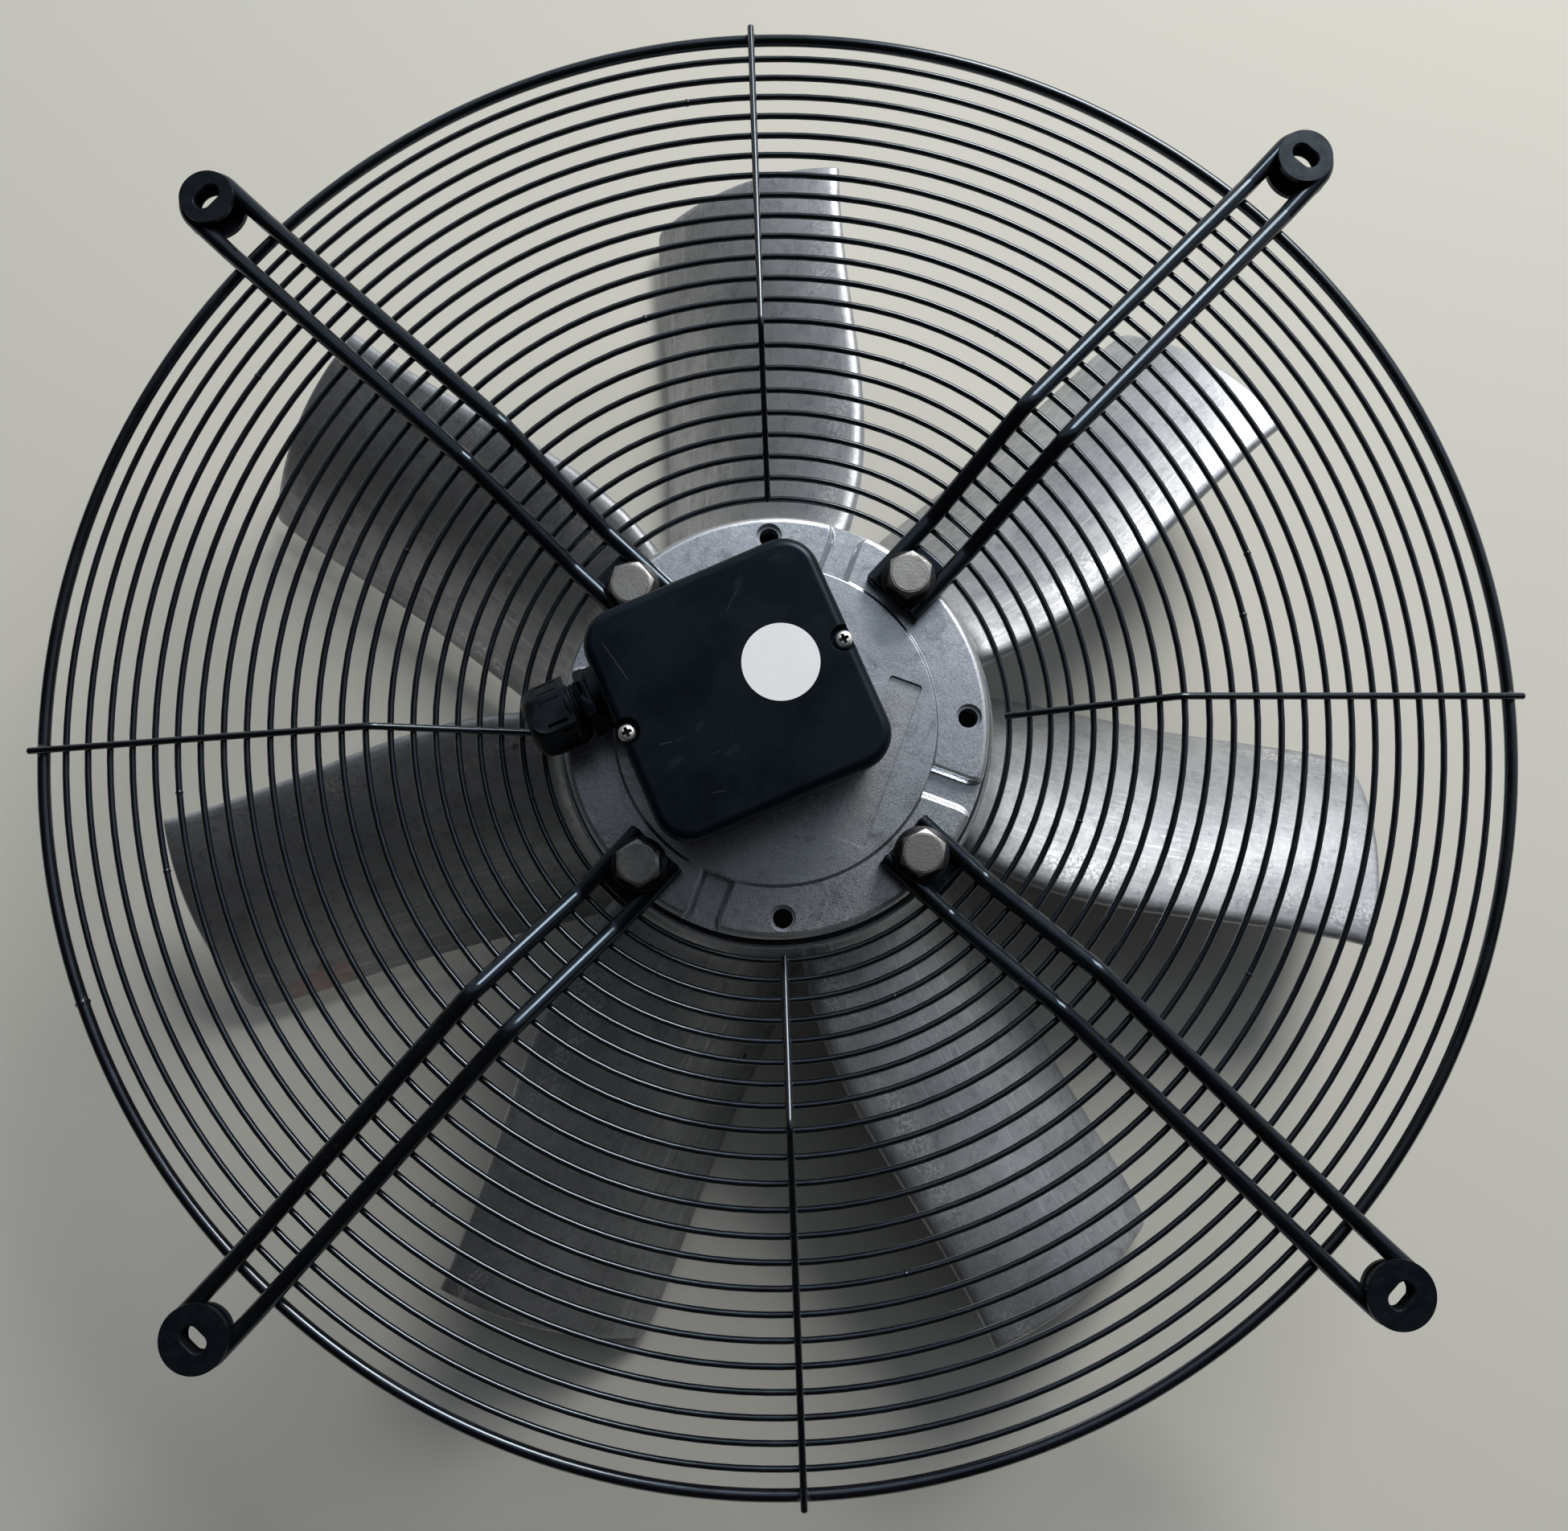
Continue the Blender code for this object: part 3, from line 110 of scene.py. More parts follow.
def dress(piece, body, slot, finish, *stands_for):
    """Gives a finished piece its material and its body, and hides the nodes it stands for. The
    slot is not used.
    """
    if not piece.data.materials:
        piece.data.materials.append(finish)
    piece.data.materials[0] = finish
    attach(piece, body)
    if stands_for:
        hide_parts(*stands_for)


def new_finish(name, colour, roughness, metallic=0.0):
    """A principled material, its node tree to add detail to, and its shader node."""
    finish = bpy.data.materials.new(name)
    finish.use_nodes = True
    shader = finish.node_tree.nodes["Principled BSDF"]
    shader.inputs["Base Color"].default_value = (*colour, 1)
    shader.inputs["Roughness"].default_value = roughness
    shader.inputs["Metallic"].default_value = metallic
    return finish, finish.node_tree, shader


def add_node(tree, kind, inputs, **modes):
    """Adds a node, sets its modes, and sets each input or links an output to it."""
    node = tree.nodes.new('ShaderNode' + kind)
    for mode, choice in modes.items():
        setattr(node, mode, choice)
    for socket, value in inputs.items():
        if isinstance(value, bpy.types.NodeSocket):
            tree.links.new(value, node.inputs[socket])
        else:
            node.inputs[socket].default_value = value
    return node


def noise(tree, vector, scale, detail=4.0, roughness=0.55, distortion=0.0):
    """The value of a noise texture on a vector."""
    return add_node(tree, 'TexNoise', {
        "Vector": vector, "Scale": scale, "Detail": detail, "Roughness": roughness,
        "Distortion": distortion}).outputs["Fac"]


def remap(tree, value, low, high, to_low=0.0, to_high=1.0):
    """Clamps a value to a range and eases it over to another."""
    return add_node(tree, 'MapRange', {
        "Value": value, "From Min": low, "From Max": high, "To Min": to_low,
        "To Max": to_high}, interpolation_type='SMOOTHSTEP').outputs["Result"]


def calc(tree, kind, *values):
    """One Math node on numbers or outputs."""
    return add_node(tree, 'Math', dict(enumerate(values)), operation=kind).outputs[0]


def times(tree, first, second):
    """Two numbers or outputs multiplied."""
    return calc(tree, 'MULTIPLY', first, second)


def blend_colours(tree, share, first, second, kind='MIX'):
    """Mixes two colours, each a colour or an output, by a share."""
    first, second = [c if isinstance(c, bpy.types.NodeSocket) else (*c, 1)
                     for c in (first, second)]
    return add_node(tree, 'Mix', {0: share, 6: first, 7: second},
                    data_type='RGBA', blend_type=kind).outputs[2]


def own_place(tree):
    """Object coordinates, in metres."""
    return add_node(tree, 'TexCoord', {}).outputs["Object"]


def show(tree, shader, colour, roughness=None, height=None, depth=0.0):
    """Links a colour, a roughness and a height of some depth to the shader."""
    tree.links.new(colour, shader.inputs["Base Color"])
    if roughness is not None:
        tree.links.new(roughness, shader.inputs["Roughness"])
    if height is not None:
        bump = add_node(tree, 'Bump', {"Height": height, "Distance": depth, "Strength": 1.0})
        tree.links.new(bump.outputs["Normal"], shader.inputs["Normal"])


def new_group(name, inputs, outputs):
    """An empty shader group, its inputs and its outputs. An input without a start value is
    a vector."""
    group = bpy.data.node_groups.new(name, 'ShaderNodeTree')
    for socket, start in inputs.items():
        kind = 'NodeSocketVector' if start is None else 'NodeSocketFloat'
        made = group.interface.new_socket(socket, in_out='INPUT', socket_type=kind)
        if start is not None:
            made.default_value = start
    for socket in outputs:
        kind = 'NodeSocketColor' if socket == "Colour" else 'NodeSocketFloat'
        group.interface.new_socket(socket, in_out='OUTPUT', socket_type=kind)
    given, out = group.nodes.new('NodeGroupInput'), group.nodes.new('NodeGroupOutput')
    return group, given.outputs, out.inputs


def build_grain():
    """Fine tooth of a painted or moulded surface, with dull patches and a little dust."""
    group, given, out = new_group(
        "Fine grain", {"Place": None, "Grain Size": 0.0006, "Patch Size": 0.03},
        ("Height", "Patches", "Dust"))
    place = given["Place"]
    per_grain = calc(group, 'DIVIDE', 1.0, given["Grain Size"])
    per_patch = calc(group, 'DIVIDE', 1.0, given["Patch Size"])
    patches = noise(group, place, per_patch, 5.0, 0.6)
    specks = noise(group, place, times(group, per_grain, 0.4), 3.0, 0.7)
    dust = times(group, remap(group, specks, 0.60, 0.74), remap(group, patches, 0.42, 0.62))
    group.links.new(noise(group, place, per_grain, 2.0, 0.6), out["Height"])
    group.links.new(remap(group, patches, 0.35, 0.65), out["Patches"])
    group.links.new(dust, out["Dust"])
    return group


fine_grain = build_grain()


def add_grain(tree, grain, patch):
    """Adds the fine grain to a material, at its sizes, and gives its outputs."""
    return add_node(tree, 'Group', {"Place": own_place(tree), "Grain Size": grain,
                                    "Patch Size": patch}, node_tree=fine_grain).outputs


def coated_finish(name, colour, dusty, roughness, spread, grain, patch, depth, gloss=0.5):
    """Black paint or plastic: fine grain, patches that shine less, and settled dust."""
    finish, tree, shader = new_finish(name, colour, roughness)
    shader.inputs["Specular IOR Level"].default_value = gloss
    # The reflections are tinted blue, a painted tint of the window's cool light
    shader.inputs["Specular Tint"].default_value = (0.62, 0.80, 1.0, 1)
    surface = add_grain(tree, grain, patch)
    tinted = blend_colours(tree, surface["Patches"], colour, [c * 1.3 for c in colour])
    dusted = blend_colours(tree, times(tree, surface["Dust"], 0.4), tinted, dusty)
    dull = remap(tree, surface["Patches"], 0, 1, roughness - spread, roughness + spread)
    show(tree, shader, dusted, dull, surface["Height"], depth)
    return finish


rotor_black = coated_finish(
    "rotor_black_paint", (0.014, 0.0145, 0.016), dusty=(0.16, 0.15, 0.13), roughness=0.46,
    spread=0.10, grain=0.0007, patch=0.030, depth=0.00006)

CUP_R = 0.0880
CUP_WALL = 0.0028
CUP_TOP = 0.1145
CUP_EDGE_R = 0.0080
CUP_FLOOR = 0.0040
CUP_STEP_R = 0.0560
CUP_STEP = 0.0012
BOSS_R = 0.0160
BOSS_DISH = 0.0030
BOSS_TOP_R = 0.0135
BOSS_TOP = 0.0137
SHAFT_R = 0.0100
FIT = 0.0003

cup_section = [(SHAFT_R + FIT, BOSS_DISH), (BOSS_R - 0.0015, BOSS_DISH), (BOSS_R, 0.0),
               (CUP_STEP_R - 0.012, 0.0), (CUP_STEP_R - 0.011, CUP_STEP),
               (CUP_STEP_R, CUP_STEP), (CUP_STEP_R + 0.001, 0.0)]
cup_section += quarter_round(CUP_R - CUP_EDGE_R, CUP_EDGE_R, CUP_EDGE_R, -90, 8)
cup_section += [(CUP_R, CUP_TOP), (CUP_R - CUP_WALL, CUP_TOP), (CUP_R - CUP_WALL, CUP_EDGE_R),
                (CUP_R - CUP_WALL - CUP_FLOOR, CUP_FLOOR), (BOSS_R, CUP_FLOOR),
                (BOSS_TOP_R, BOSS_TOP), (SHAFT_R + FIT, BOSS_TOP)]
rotor_cup = turn_on_lathe("rotor_cup", cup_section, 128)
soften(rotor_cup, 0.0005)
dress(rotor_cup, "impeller", "rotor_paint", rotor_black, "rotor_shell")


# Shaft
# Ground steel bar pressed into the cup's boss. Its lower end shows in the middle of the
# cup, faced off square with a centre hole left by the lathe.

SHAFT_LOW = 0.0003
SHAFT_TOP = 0.1145
SHAFT_CHAMFER = 0.0008
CENTRE_HOLE_R = 0.0022
CENTRE_HOLE_DEPTH = 0.0013
CIRCLIP_GROOVE_R = 0.0092
CIRCLIP_GROOVE = (0.1100, 0.1118)
STEEL = (0.58, 0.57, 0.55)


def stretched(tree, vector, scale, turn=(0, 0, 0)):
    """A vector scaled apart along each axis, then turned."""
    return add_node(tree, 'Mapping', {
        "Vector": vector, "Scale": scale, "Rotation": turn}).outputs["Vector"]


bearing_steel, steel_tree, steel_shader = new_finish("bearing_steel", STEEL, 0.24, 1.0)
steel_place = own_place(steel_tree)
stains = noise(steel_tree, steel_place, 60)
tool_lines = noise(steel_tree, stretched(steel_tree, steel_place, (2, 2, 4000)), 1.0, 3.0)
show(steel_tree, steel_shader,
     blend_colours(steel_tree, stains, [c * 0.8 for c in STEEL], STEEL),
     remap(steel_tree, stains, 0.3, 0.7, 0.16, 0.36), tool_lines, 0.00002)

shaft_section = [(0, SHAFT_LOW + CENTRE_HOLE_DEPTH), (CENTRE_HOLE_R, SHAFT_LOW),
                 (SHAFT_R - SHAFT_CHAMFER, SHAFT_LOW), (SHAFT_R, SHAFT_LOW + SHAFT_CHAMFER)]
shaft_section += [(SHAFT_R, CIRCLIP_GROOVE[0]), (CIRCLIP_GROOVE_R, CIRCLIP_GROOVE[0]),
                  (CIRCLIP_GROOVE_R, CIRCLIP_GROOVE[1]), (SHAFT_R, CIRCLIP_GROOVE[1])]
shaft_section += [(SHAFT_R, SHAFT_TOP - 0.0010), (SHAFT_R - 0.0010, SHAFT_TOP), (0, SHAFT_TOP)]
shaft = turn_on_lathe("ground_shaft", shaft_section, 64)
soften(shaft, 0.0002)
dress(shaft, "impeller", "bearing_steel", bearing_steel, "shaft")


# Bearings, circlip and preload spring
# Two sealed ball bearings, a circlip in the shaft's groove and a flat spring washer. They
# sit inside the motor and keep the shapes of the model.

def coat(piece, *finishes):
    """Gives a piece its finishes in turn, the first of them all over."""
    piece.data.materials.clear()
    for finish in finishes:
        piece.data.materials.append(finish)


for part in ("bearing_outer_upper", "bearing_outer_lower", "bearing_inner_upper",
             "bearing_inner_lower", "bearing_balls_upper", "bearing_balls_lower",
             "preload_spring", "shaft_circlip"):
    coat(cad[part], bearing_steel)


# Rotor cage and stator iron
# Stacks of thin electrical sheet, so their faces show fine lines across the axis. They
# keep the shapes of the model inside the cup.

stack_iron, stack_tree, stack_shader = new_finish("stacked_iron", (0.20, 0.20, 0.21), 0.5, 1.0)
sheets = add_node(stack_tree, 'TexWave', {"Vector": own_place(stack_tree), "Scale": 320,
                                          "Distortion": 0.4}, bands_direction='Z').outputs["Fac"]
show(stack_tree, stack_shader,
     blend_colours(stack_tree, sheets, (0.10, 0.10, 0.11), (0.28, 0.28, 0.29)),
     height=sheets, depth=0.0001)
coat(cad["rotor_cage"], stack_iron)
coat(cad["stator_core"], stack_iron)


# Winding heads
# Lacquered copper wire that overhangs the stator iron at both ends. It keeps the shape of
# the model, and its turns are drawn by bands about the axis.

copper, copper_tree, copper_shader = new_finish("lacquered_copper", (0.50, 0.17, 0.06), 0.35, 0.9)
turns = add_node(copper_tree, 'TexWave', {
    "Vector": own_place(copper_tree), "Scale": 260, "Distortion": 2.5, "Detail Scale": 0.6},
    wave_type='RINGS', rings_direction='Z').outputs["Fac"]
show(copper_tree, copper_shader,
     blend_colours(copper_tree, turns, (0.22, 0.06, 0.02), (0.60, 0.22, 0.08)),
     height=turns, depth=0.0005)
coat(cad["winding_head_upper"], copper)
coat(cad["winding_head_lower"], copper)


# Hub ring
# Die-cast aluminium ring shrunk on the rotor cup. It carries the blades, and tapers above
# them to a thin rim that runs under the motor flange.

def build_cast():
    """Raw cast skin: cloudy patches, fine dark veins, bright flecks and lines, fine tooth."""
    group, given, out = new_group(
        "Cast skin", {"Place": None, "Flow": None, "Fleck Size": 0.0016, "Cloud Size": 0.05,
                      "Streaks": 0.5, "Crust": 0.0}, ("Colour", "Roughness", "Height"))
    place = given["Place"]
    per_fleck = calc(group, 'DIVIDE', 1.0, given["Fleck Size"])
    per_cloud = calc(group, 'DIVIDE', 1.0, given["Cloud Size"])
    clouds = noise(group, place, per_cloud, 5.0, 0.60)
    blotches = noise(group, place, times(group, per_cloud, 6.0), 3.0, 0.65, 0.6)
    flecks = noise(group, place, per_fleck, 3.0, 0.60, 0.5)
    veins = noise(group, place, times(group, per_fleck, 0.55), 4.0, 0.60, 1.6)
    tooth = noise(group, place, times(group, per_fleck, 2.5), 2.0, 0.6)
    streaks = noise(group, given["Flow"], 1.0, 4.0, 0.6, 0.2)
    off_vein = calc(group, 'ABSOLUTE', calc(group, 'SUBTRACT', veins, 0.5))
    vein = calc(group, 'SUBTRACT', 1.0, times(group, 14.0, off_vein))
    vein = times(group, calc(group, 'MAXIMUM', vein, 0.0), remap(group, blotches, 0.45, 0.65))
    crust = times(group, remap(group, flecks, 0.44, 0.58), given["Crust"])
    fleck = times(group, remap(group, flecks, 0.58, 0.72), 0.30)
    bright = calc(group, 'MAXIMUM', fleck, crust)
    lined = times(group, remap(group, streaks, 0.52, 0.68), given["Streaks"])
    stained = times(group, remap(group, blotches, 0.54, 0.72), 0.34)
    colour = blend_colours(group, remap(group, clouds, 0.28, 0.72),
                           (0.345, 0.355, 0.378), (0.55, 0.56, 0.582))
    for share, tint in ((stained, (0.24, 0.25, 0.275)),
                        (times(group, vein, 0.42), (0.13, 0.135, 0.15)),
                        (times(group, lined, 0.45), (0.66, 0.67, 0.69)),
                        (bright, (0.93, 0.93, 0.93))):
        colour = blend_colours(group, share, colour, tint)
    rubbed = times(group, calc(group, 'MAXIMUM', bright, lined), 0.12)
    rough = calc(group, 'SUBTRACT', remap(group, tooth, 0.3, 0.7, 0.42, 0.56), rubbed)
    fine = calc(group, 'ADD', times(group, flecks, 0.5), times(group, tooth, 0.25))
    group.links.new(colour, out["Colour"])
    group.links.new(rough, out["Roughness"])
    group.links.new(calc(group, 'ADD', times(group, blotches, 1.2), fine), out["Height"])
    return group


cast_skin = build_cast()
CAST_GREY = (0.5, 0.51, 0.54)


def cast_finish(name, depth, lighten, polish=0.0, rim=0.0,
                fleck=0.0014, cloud=0.038, streaks=0.45, crust=0.05):
    """Raw cast aluminium with streaks that run round, lightened by a share and made less
    rough by polish. Towards a rim, where one is given, it is scuffed, and it has grime."""
    finish, tree, shader = new_finish(name, CAST_GREY, 0.5, 0.97)
    place = own_place(tree)
    skin = add_node(tree, 'Group', {
        "Place": place, "Flow": stretched(tree, place, (60, 60, 400)), "Fleck Size": fleck,
        "Cloud Size": cloud, "Streaks": streaks, "Crust": crust}, node_tree=cast_skin).outputs
    colour = blend_colours(tree, lighten, skin["Colour"], (0.90, 0.93, 0.975))
    if rim:
        x, y, _ = add_node(tree, 'SeparateXYZ', {"Vector": place}).outputs
        squares = calc(tree, 'ADD', calc(tree, 'POWER', x, 2.0), calc(tree, 'POWER', y, 2.0))
        reach = calc(tree, 'SQRT', squares)
        near_rim = times(tree, remap(tree, reach, rim - 0.017, rim - 0.001), 0.8)
        scuffs = remap(tree, noise(tree, place, 150, 8.0, 0.72, 1.6), 0.53, 0.60)
        grime = remap(tree, noise(tree, place, 55, 8.0, 0.72, 1.0), 0.53, 0.64, 0.0, 0.36)
        colour = blend_colours(tree, 1.0, colour, (0.97, 0.99, 1.02), 'MULTIPLY')
        colour = blend_colours(tree, grime, colour, (0.15, 0.16, 0.18))
        colour = blend_colours(tree, times(tree, scuffs, near_rim), colour, (0.90, 0.91, 0.92))
    rough = calc(tree, 'SUBTRACT', skin["Roughness"], polish)
    show(tree, shader, colour, rough, skin["Height"], depth)
    return finish


FLANGE_R = 0.0865
cast_motor = cast_finish("cast_motor_parts", depth=0.00005, lighten=0.60, polish=0.17,
                         rim=FLANGE_R)
# The recess floor's finish is a darker copy of the flange's own, painted shade in the recess
cast_shaded_recess = cast_finish("cast_recess_floor_painted_shade", depth=0.00006, lighten=0.44, polish=0.16)
cast_worn = cast_finish("cast_worn_edges", depth=0.00005, lighten=0.34, fleck=0.0010,
                        cloud=0.012, streaks=0.6, crust=0.30)

HUB_R = 0.0935
HUB_LOW = 0.0040
HUB_TAPER_Z = 0.0740
HUB_RIM_R = 0.0900
HUB_TOP = 0.1100
hub_section = [(CUP_R + FIT, HUB_LOW), (HUB_R, HUB_LOW), (HUB_R, HUB_TAPER_Z),
               (HUB_RIM_R, HUB_TOP), (CUP_R + FIT, HUB_TOP)]
hub_ring = turn_on_lathe("cast_hub_ring", hub_section, 144)
coat(hub_ring, cast_motor, cast_worn)
soften(hub_ring, 0.0006, edge_finish=1)
dress(hub_ring, "impeller", "cast_motor_parts", cast_motor, "impeller_hub_ring")


# Blades
# Seven aluminium blades cast on the hub ring, left raw. Each is skinned here over its
# sections, from a flared root to a tip cut to the impeller's circle.

BLADE_COUNT = 7
TIP_R = 0.2770
BLADE_ROOT_T = 0.0075
BLADE_TIP_T = 0.0052
LEAST_T = 0.00002
LEAD_ROOT_Z = 0.0900
LEAD_TIP_Z = 0.0585
TRAIL_Z = 0.0080
TAIL_CORNER_R = 0.0045
ROOT_CAMBER_SHARE = 0.12
TIP_CAMBER_SHARE = 0.085
NOSE_SHARE = 0.5
TAIL_SHARE = 0.18
SIDE_POINTS = 22
# radius, angle of the leading edge and of the trailing edge in degrees
BLADE_EDGES = ((0.0890, -21.5, 32.5), (0.0935, -21.4, 31.0), (0.1050, -21.0, 27.6),
               (0.1200, -20.1, 24.1), (0.1400, -18.2, 20.3), (0.1700, -15.0, 16.4),
               (0.2000, -12.1, 14.0), (0.2300, -9.95, 12.5), (0.2600, -8.55, 11.3),
               (0.2770, -8.1, 10.45))
# share of the chord, and of the blade's thickness there
THICKNESS_SHARES = ((0.0, 0.86), (0.05, 0.96), (0.14, 1.0), (0.28, 0.98), (0.45, 0.88),
                    (0.60, 0.74), (0.75, 0.58), (0.88, 0.42), (1.0, 0.32))
# radius, and what the root fillet or the rounded tip adds to the thickness there
ROOT_FLARE = ((0.0893, 0.0066), (0.0938, 0.0060), (0.0945, 0.0042), (0.0957, 0.0026),
              (0.0975, 0.0013), (0.1000, 0.0005))
TIP_ROUND = ((TIP_R - 0.0034, 0.0), (TIP_R - 0.0023, 0.0), (TIP_R - 0.0014, 0.0),
             (TIP_R - 0.0007, -0.0003), (TIP_R - 0.0002, -0.0011), (TIP_R, -0.0022))
FIRST_PLAIN_R = 0.1035
LAST_PLAIN_R = 0.2725
PLAIN_STATIONS = 22


def smooth_between(table, x, column):
    """A curve through the rows of a table, read at x."""
    last = len(table) - 1
    i = max(k for k in range(last) if table[k][0] <= x or k == 0)
    x0, x1 = table[i][0], table[i + 1][0]
    y0, y1 = table[i][column], table[i + 1][column]
    before, after = table[max(i - 1, 0)], table[min(i + 2, last)]
    slope0 = (y1 - before[column]) / (x1 - before[0])
    slope1 = (after[column] - y0) / (after[0] - x0)
    t, span = (x - x0) / (x1 - x0), x1 - x0
    return ((2 * t ** 3 - 3 * t ** 2 + 1) * y0 + (t ** 3 - 2 * t ** 2 + t) * span * slope0
            + (3 * t ** 2 - 2 * t ** 3) * y1 + (t ** 3 - t ** 2) * span * slope1)


def edge_angles(radius):
    """Angles of the leading and the trailing edge at a radius, in radians."""
    return [radians(smooth_between(BLADE_EDGES, radius, column)) for column in (1, 2)]


def blade_section(radius, extra):
    """Points round one section, wrapped on its cylinder, from the tail over the top and back."""
    span = (radius - HUB_R) / (TIP_R - HUB_R)
    lead_angle, trail_angle = edge_angles(radius)
    lead = Vector((radius * lead_angle, LEAD_ROOT_Z + (LEAD_TIP_Z - LEAD_ROOT_Z) * span))
    trail = Vector((radius * trail_angle, TRAIL_Z))
    past_corner = radius - (TIP_R - TAIL_CORNER_R)
    if past_corner > 0:
        cut_back = TAIL_CORNER_R - sqrt(max(TAIL_CORNER_R ** 2 - past_corner ** 2, 0.0))
        trail -= (trail - lead).normalized() * min(cut_back, 0.8 * TAIL_CORNER_R)
    chord = trail - lead
    across = Vector((-chord.y, chord.x)).normalized()
    full = BLADE_ROOT_T + (BLADE_TIP_T - BLADE_ROOT_T) * span + extra
    camber = ROOT_CAMBER_SHARE + (TIP_CAMBER_SHARE - ROOT_CAMBER_SHARE) * span
    nose, tail = full * NOSE_SHARE / chord.length, full * TAIL_SHARE / chord.length
    upper, lower = [], []
    for i in range(SIDE_POINTS + 1):
        share = (1 - cos(pi * i / SIDE_POINTS)) / 2
        thick = full * smooth_between(THICKNESS_SHARES, share, 1)
        if share < nose:
            thick *= sqrt(1 - (1 - share / nose) ** 2)
        if share > 1 - tail:
            thick *= sqrt(1 - (1 - (1 - share) / tail) ** 2)
        bow = 4 * camber * chord.length * share * (1 - share)
        middle = lead + chord * share + across * bow
        slope = chord + across * 4 * camber * chord.length * (1 - 2 * share)
        half = Vector((-slope.y, slope.x)).normalized() * max(thick, LEAST_T) / 2
        upper.append(middle + half)
        lower.append(middle - half)
    ring = upper[::-1] + lower[1:-1]
    return [Vector((-radius * sin(p.x / radius), radius * cos(p.x / radius), p.y))
            for p in ring]


def skin_over(name, sections):
    """Starts from a filled circle set on the first section and extrudes it on to the others."""
    bpy.ops.mesh.primitive_circle_add(vertices=len(sections[0]), radius=TIP_R - HUB_R,
                                      fill_type='NGON')
    piece = bpy.context.object
    piece.name = piece.data.name = name
    for vertex, point in zip(piece.data.vertices, sections[0]):
        vertex.co = point
    for before, points in zip(sections, sections[1:]):
        bpy.ops.object.mode_set(mode='EDIT')
        if points is sections[1]:
            bpy.ops.mesh.select_all(action='SELECT')
        step = points[0] - before[0]
        bpy.ops.mesh.extrude_region_move(TRANSFORM_OT_translate={"value": step})
        bpy.ops.object.mode_set(mode='OBJECT')
        moved = [v for v in piece.data.vertices if v.select]
        for vertex in moved:
            near = min(range(len(before)), key=lambda k: (before[k] + step - vertex.co).length)
            vertex.co = points[near]
    bpy.ops.object.mode_set(mode='EDIT')
    clean_shell()
    return piece


plain_step = (LAST_PLAIN_R - FIRST_PLAIN_R) / (PLAIN_STATIONS - 1)
stations = list(ROOT_FLARE)
stations += [(FIRST_PLAIN_R + plain_step * i, 0.0) for i in range(PLAIN_STATIONS)]
stations += list(TIP_ROUND)
first_blade = skin_over("cast_blade_1", [blade_section(r, extra) for r, extra in stations])

# The blade's own map: along the chord from the leading edge, and out along the span
wrap = first_blade.data.uv_layers.new(name="BladeMap")
for loop in first_blade.data.loops:
    spot = first_blade.data.vertices[loop.vertex_index].co
    radius = spot.xy.length
    lead, trail = edge_angles(min(max(radius, HUB_R), TIP_R))
    wrap.data[loop.index].uv = ((atan2(-spot.x, spot.y) - lead) / (trail - lead),
                                (radius - HUB_R) / (TIP_R - HUB_R))


def build_mark():
    """A hairline along X and a ragged spot, both of half size 1 about the vector's origin."""
    group, given, out = new_group("Single mark", {"Place": None, "Ragged": 0.3},
                                  ("Line", "Spot"))
    place = given["Place"]
    x, y, z = [calc(group, 'ABSOLUTE', axis) for axis in
               add_node(group, 'SeparateXYZ', {"Vector": place}).outputs]
    along, across = [calc(group, 'MAXIMUM', calc(group, 'SUBTRACT', 1.0, axis), 0.0)
                     for axis in (x, y)]
    line = times(group, remap(group, along, 0.0, 0.25), remap(group, across, 0.0, 0.7))
    length = add_node(group, 'VectorMath', {0: place}, operation='LENGTH').outputs["Value"]
    edge = times(group, noise(group, place, 1.6, 4.0, 0.7), given["Ragged"])
    group.links.new(times(group, line, remap(group, z, 1.0, 0.8)), out["Line"])
    group.links.new(remap(group, calc(group, 'ADD', length, edge), 1.0, 0.6), out["Spot"])
    return group


single_mark = build_mark()


def marked(tree, place, colour, middle, half_size, turn, tint, share, shape="Spot",
           ragged=0.5):
    """A colour with one mark on it, at a point of the piece, turned about the upright axis."""
    own = add_node(tree, 'Mapping', {
        "Vector": place, "Location": middle, "Rotation": (0, 0, turn), "Scale": half_size},
        vector_type='TEXTURE').outputs["Vector"]
    mark = add_node(tree, 'Group', {"Place": own, "Ragged": ragged}, node_tree=single_mark)
    return blend_colours(tree, times(tree, mark.outputs[shape], share), colour, tint)


blade_skin, tree, blade_shader = new_finish("cast_blade_skin", CAST_GREY, 0.5, 0.89)
skin_place = own_place(tree)
blade_map = add_node(tree, 'UVMap', {}, uv_map="BladeMap").outputs["UV"]
along = add_node(tree, 'SeparateXYZ', {"Vector": blade_map}).outputs["X"]
wander = calc(tree, 'SUBTRACT', noise(tree, skin_place, 45, 4.0, 0.6), 0.5)
near_lead = calc(tree, 'ADD', along, times(tree, wander, 0.30))
lead_crust = times(tree, remap(tree, near_lead, 0.06, 0.11), remap(tree, near_lead, 0.26, 0.14))
near_trail = calc(tree, 'ADD', along, times(tree, wander, 0.075))
trail_crust = times(tree, remap(tree, near_trail, 0.90, 0.94),
                    remap(tree, near_trail, 0.99, 0.97))
rare = remap(tree, noise(tree, skin_place, 6, 2.0, 0.5), 0.57, 0.66)
patchy = remap(tree, noise(tree, skin_place, 14, 3.0, 0.6), 0.46, 0.62)
crust = times(tree, calc(tree, 'MAXIMUM', lead_crust, times(tree, trail_crust, rare)), patchy)
skin = add_node(tree, 'Group', {
    "Place": skin_place, "Flow": stretched(tree, blade_map, (55, 5, 1), (0, 0, 0.06)),
    "Fleck Size": 0.0016, "Cloud Size": 0.050, "Streaks": 0.90,
    "Crust": times(tree, crust, 0.85)}, node_tree=cast_skin).outputs
blade_colour = skin["Colour"]
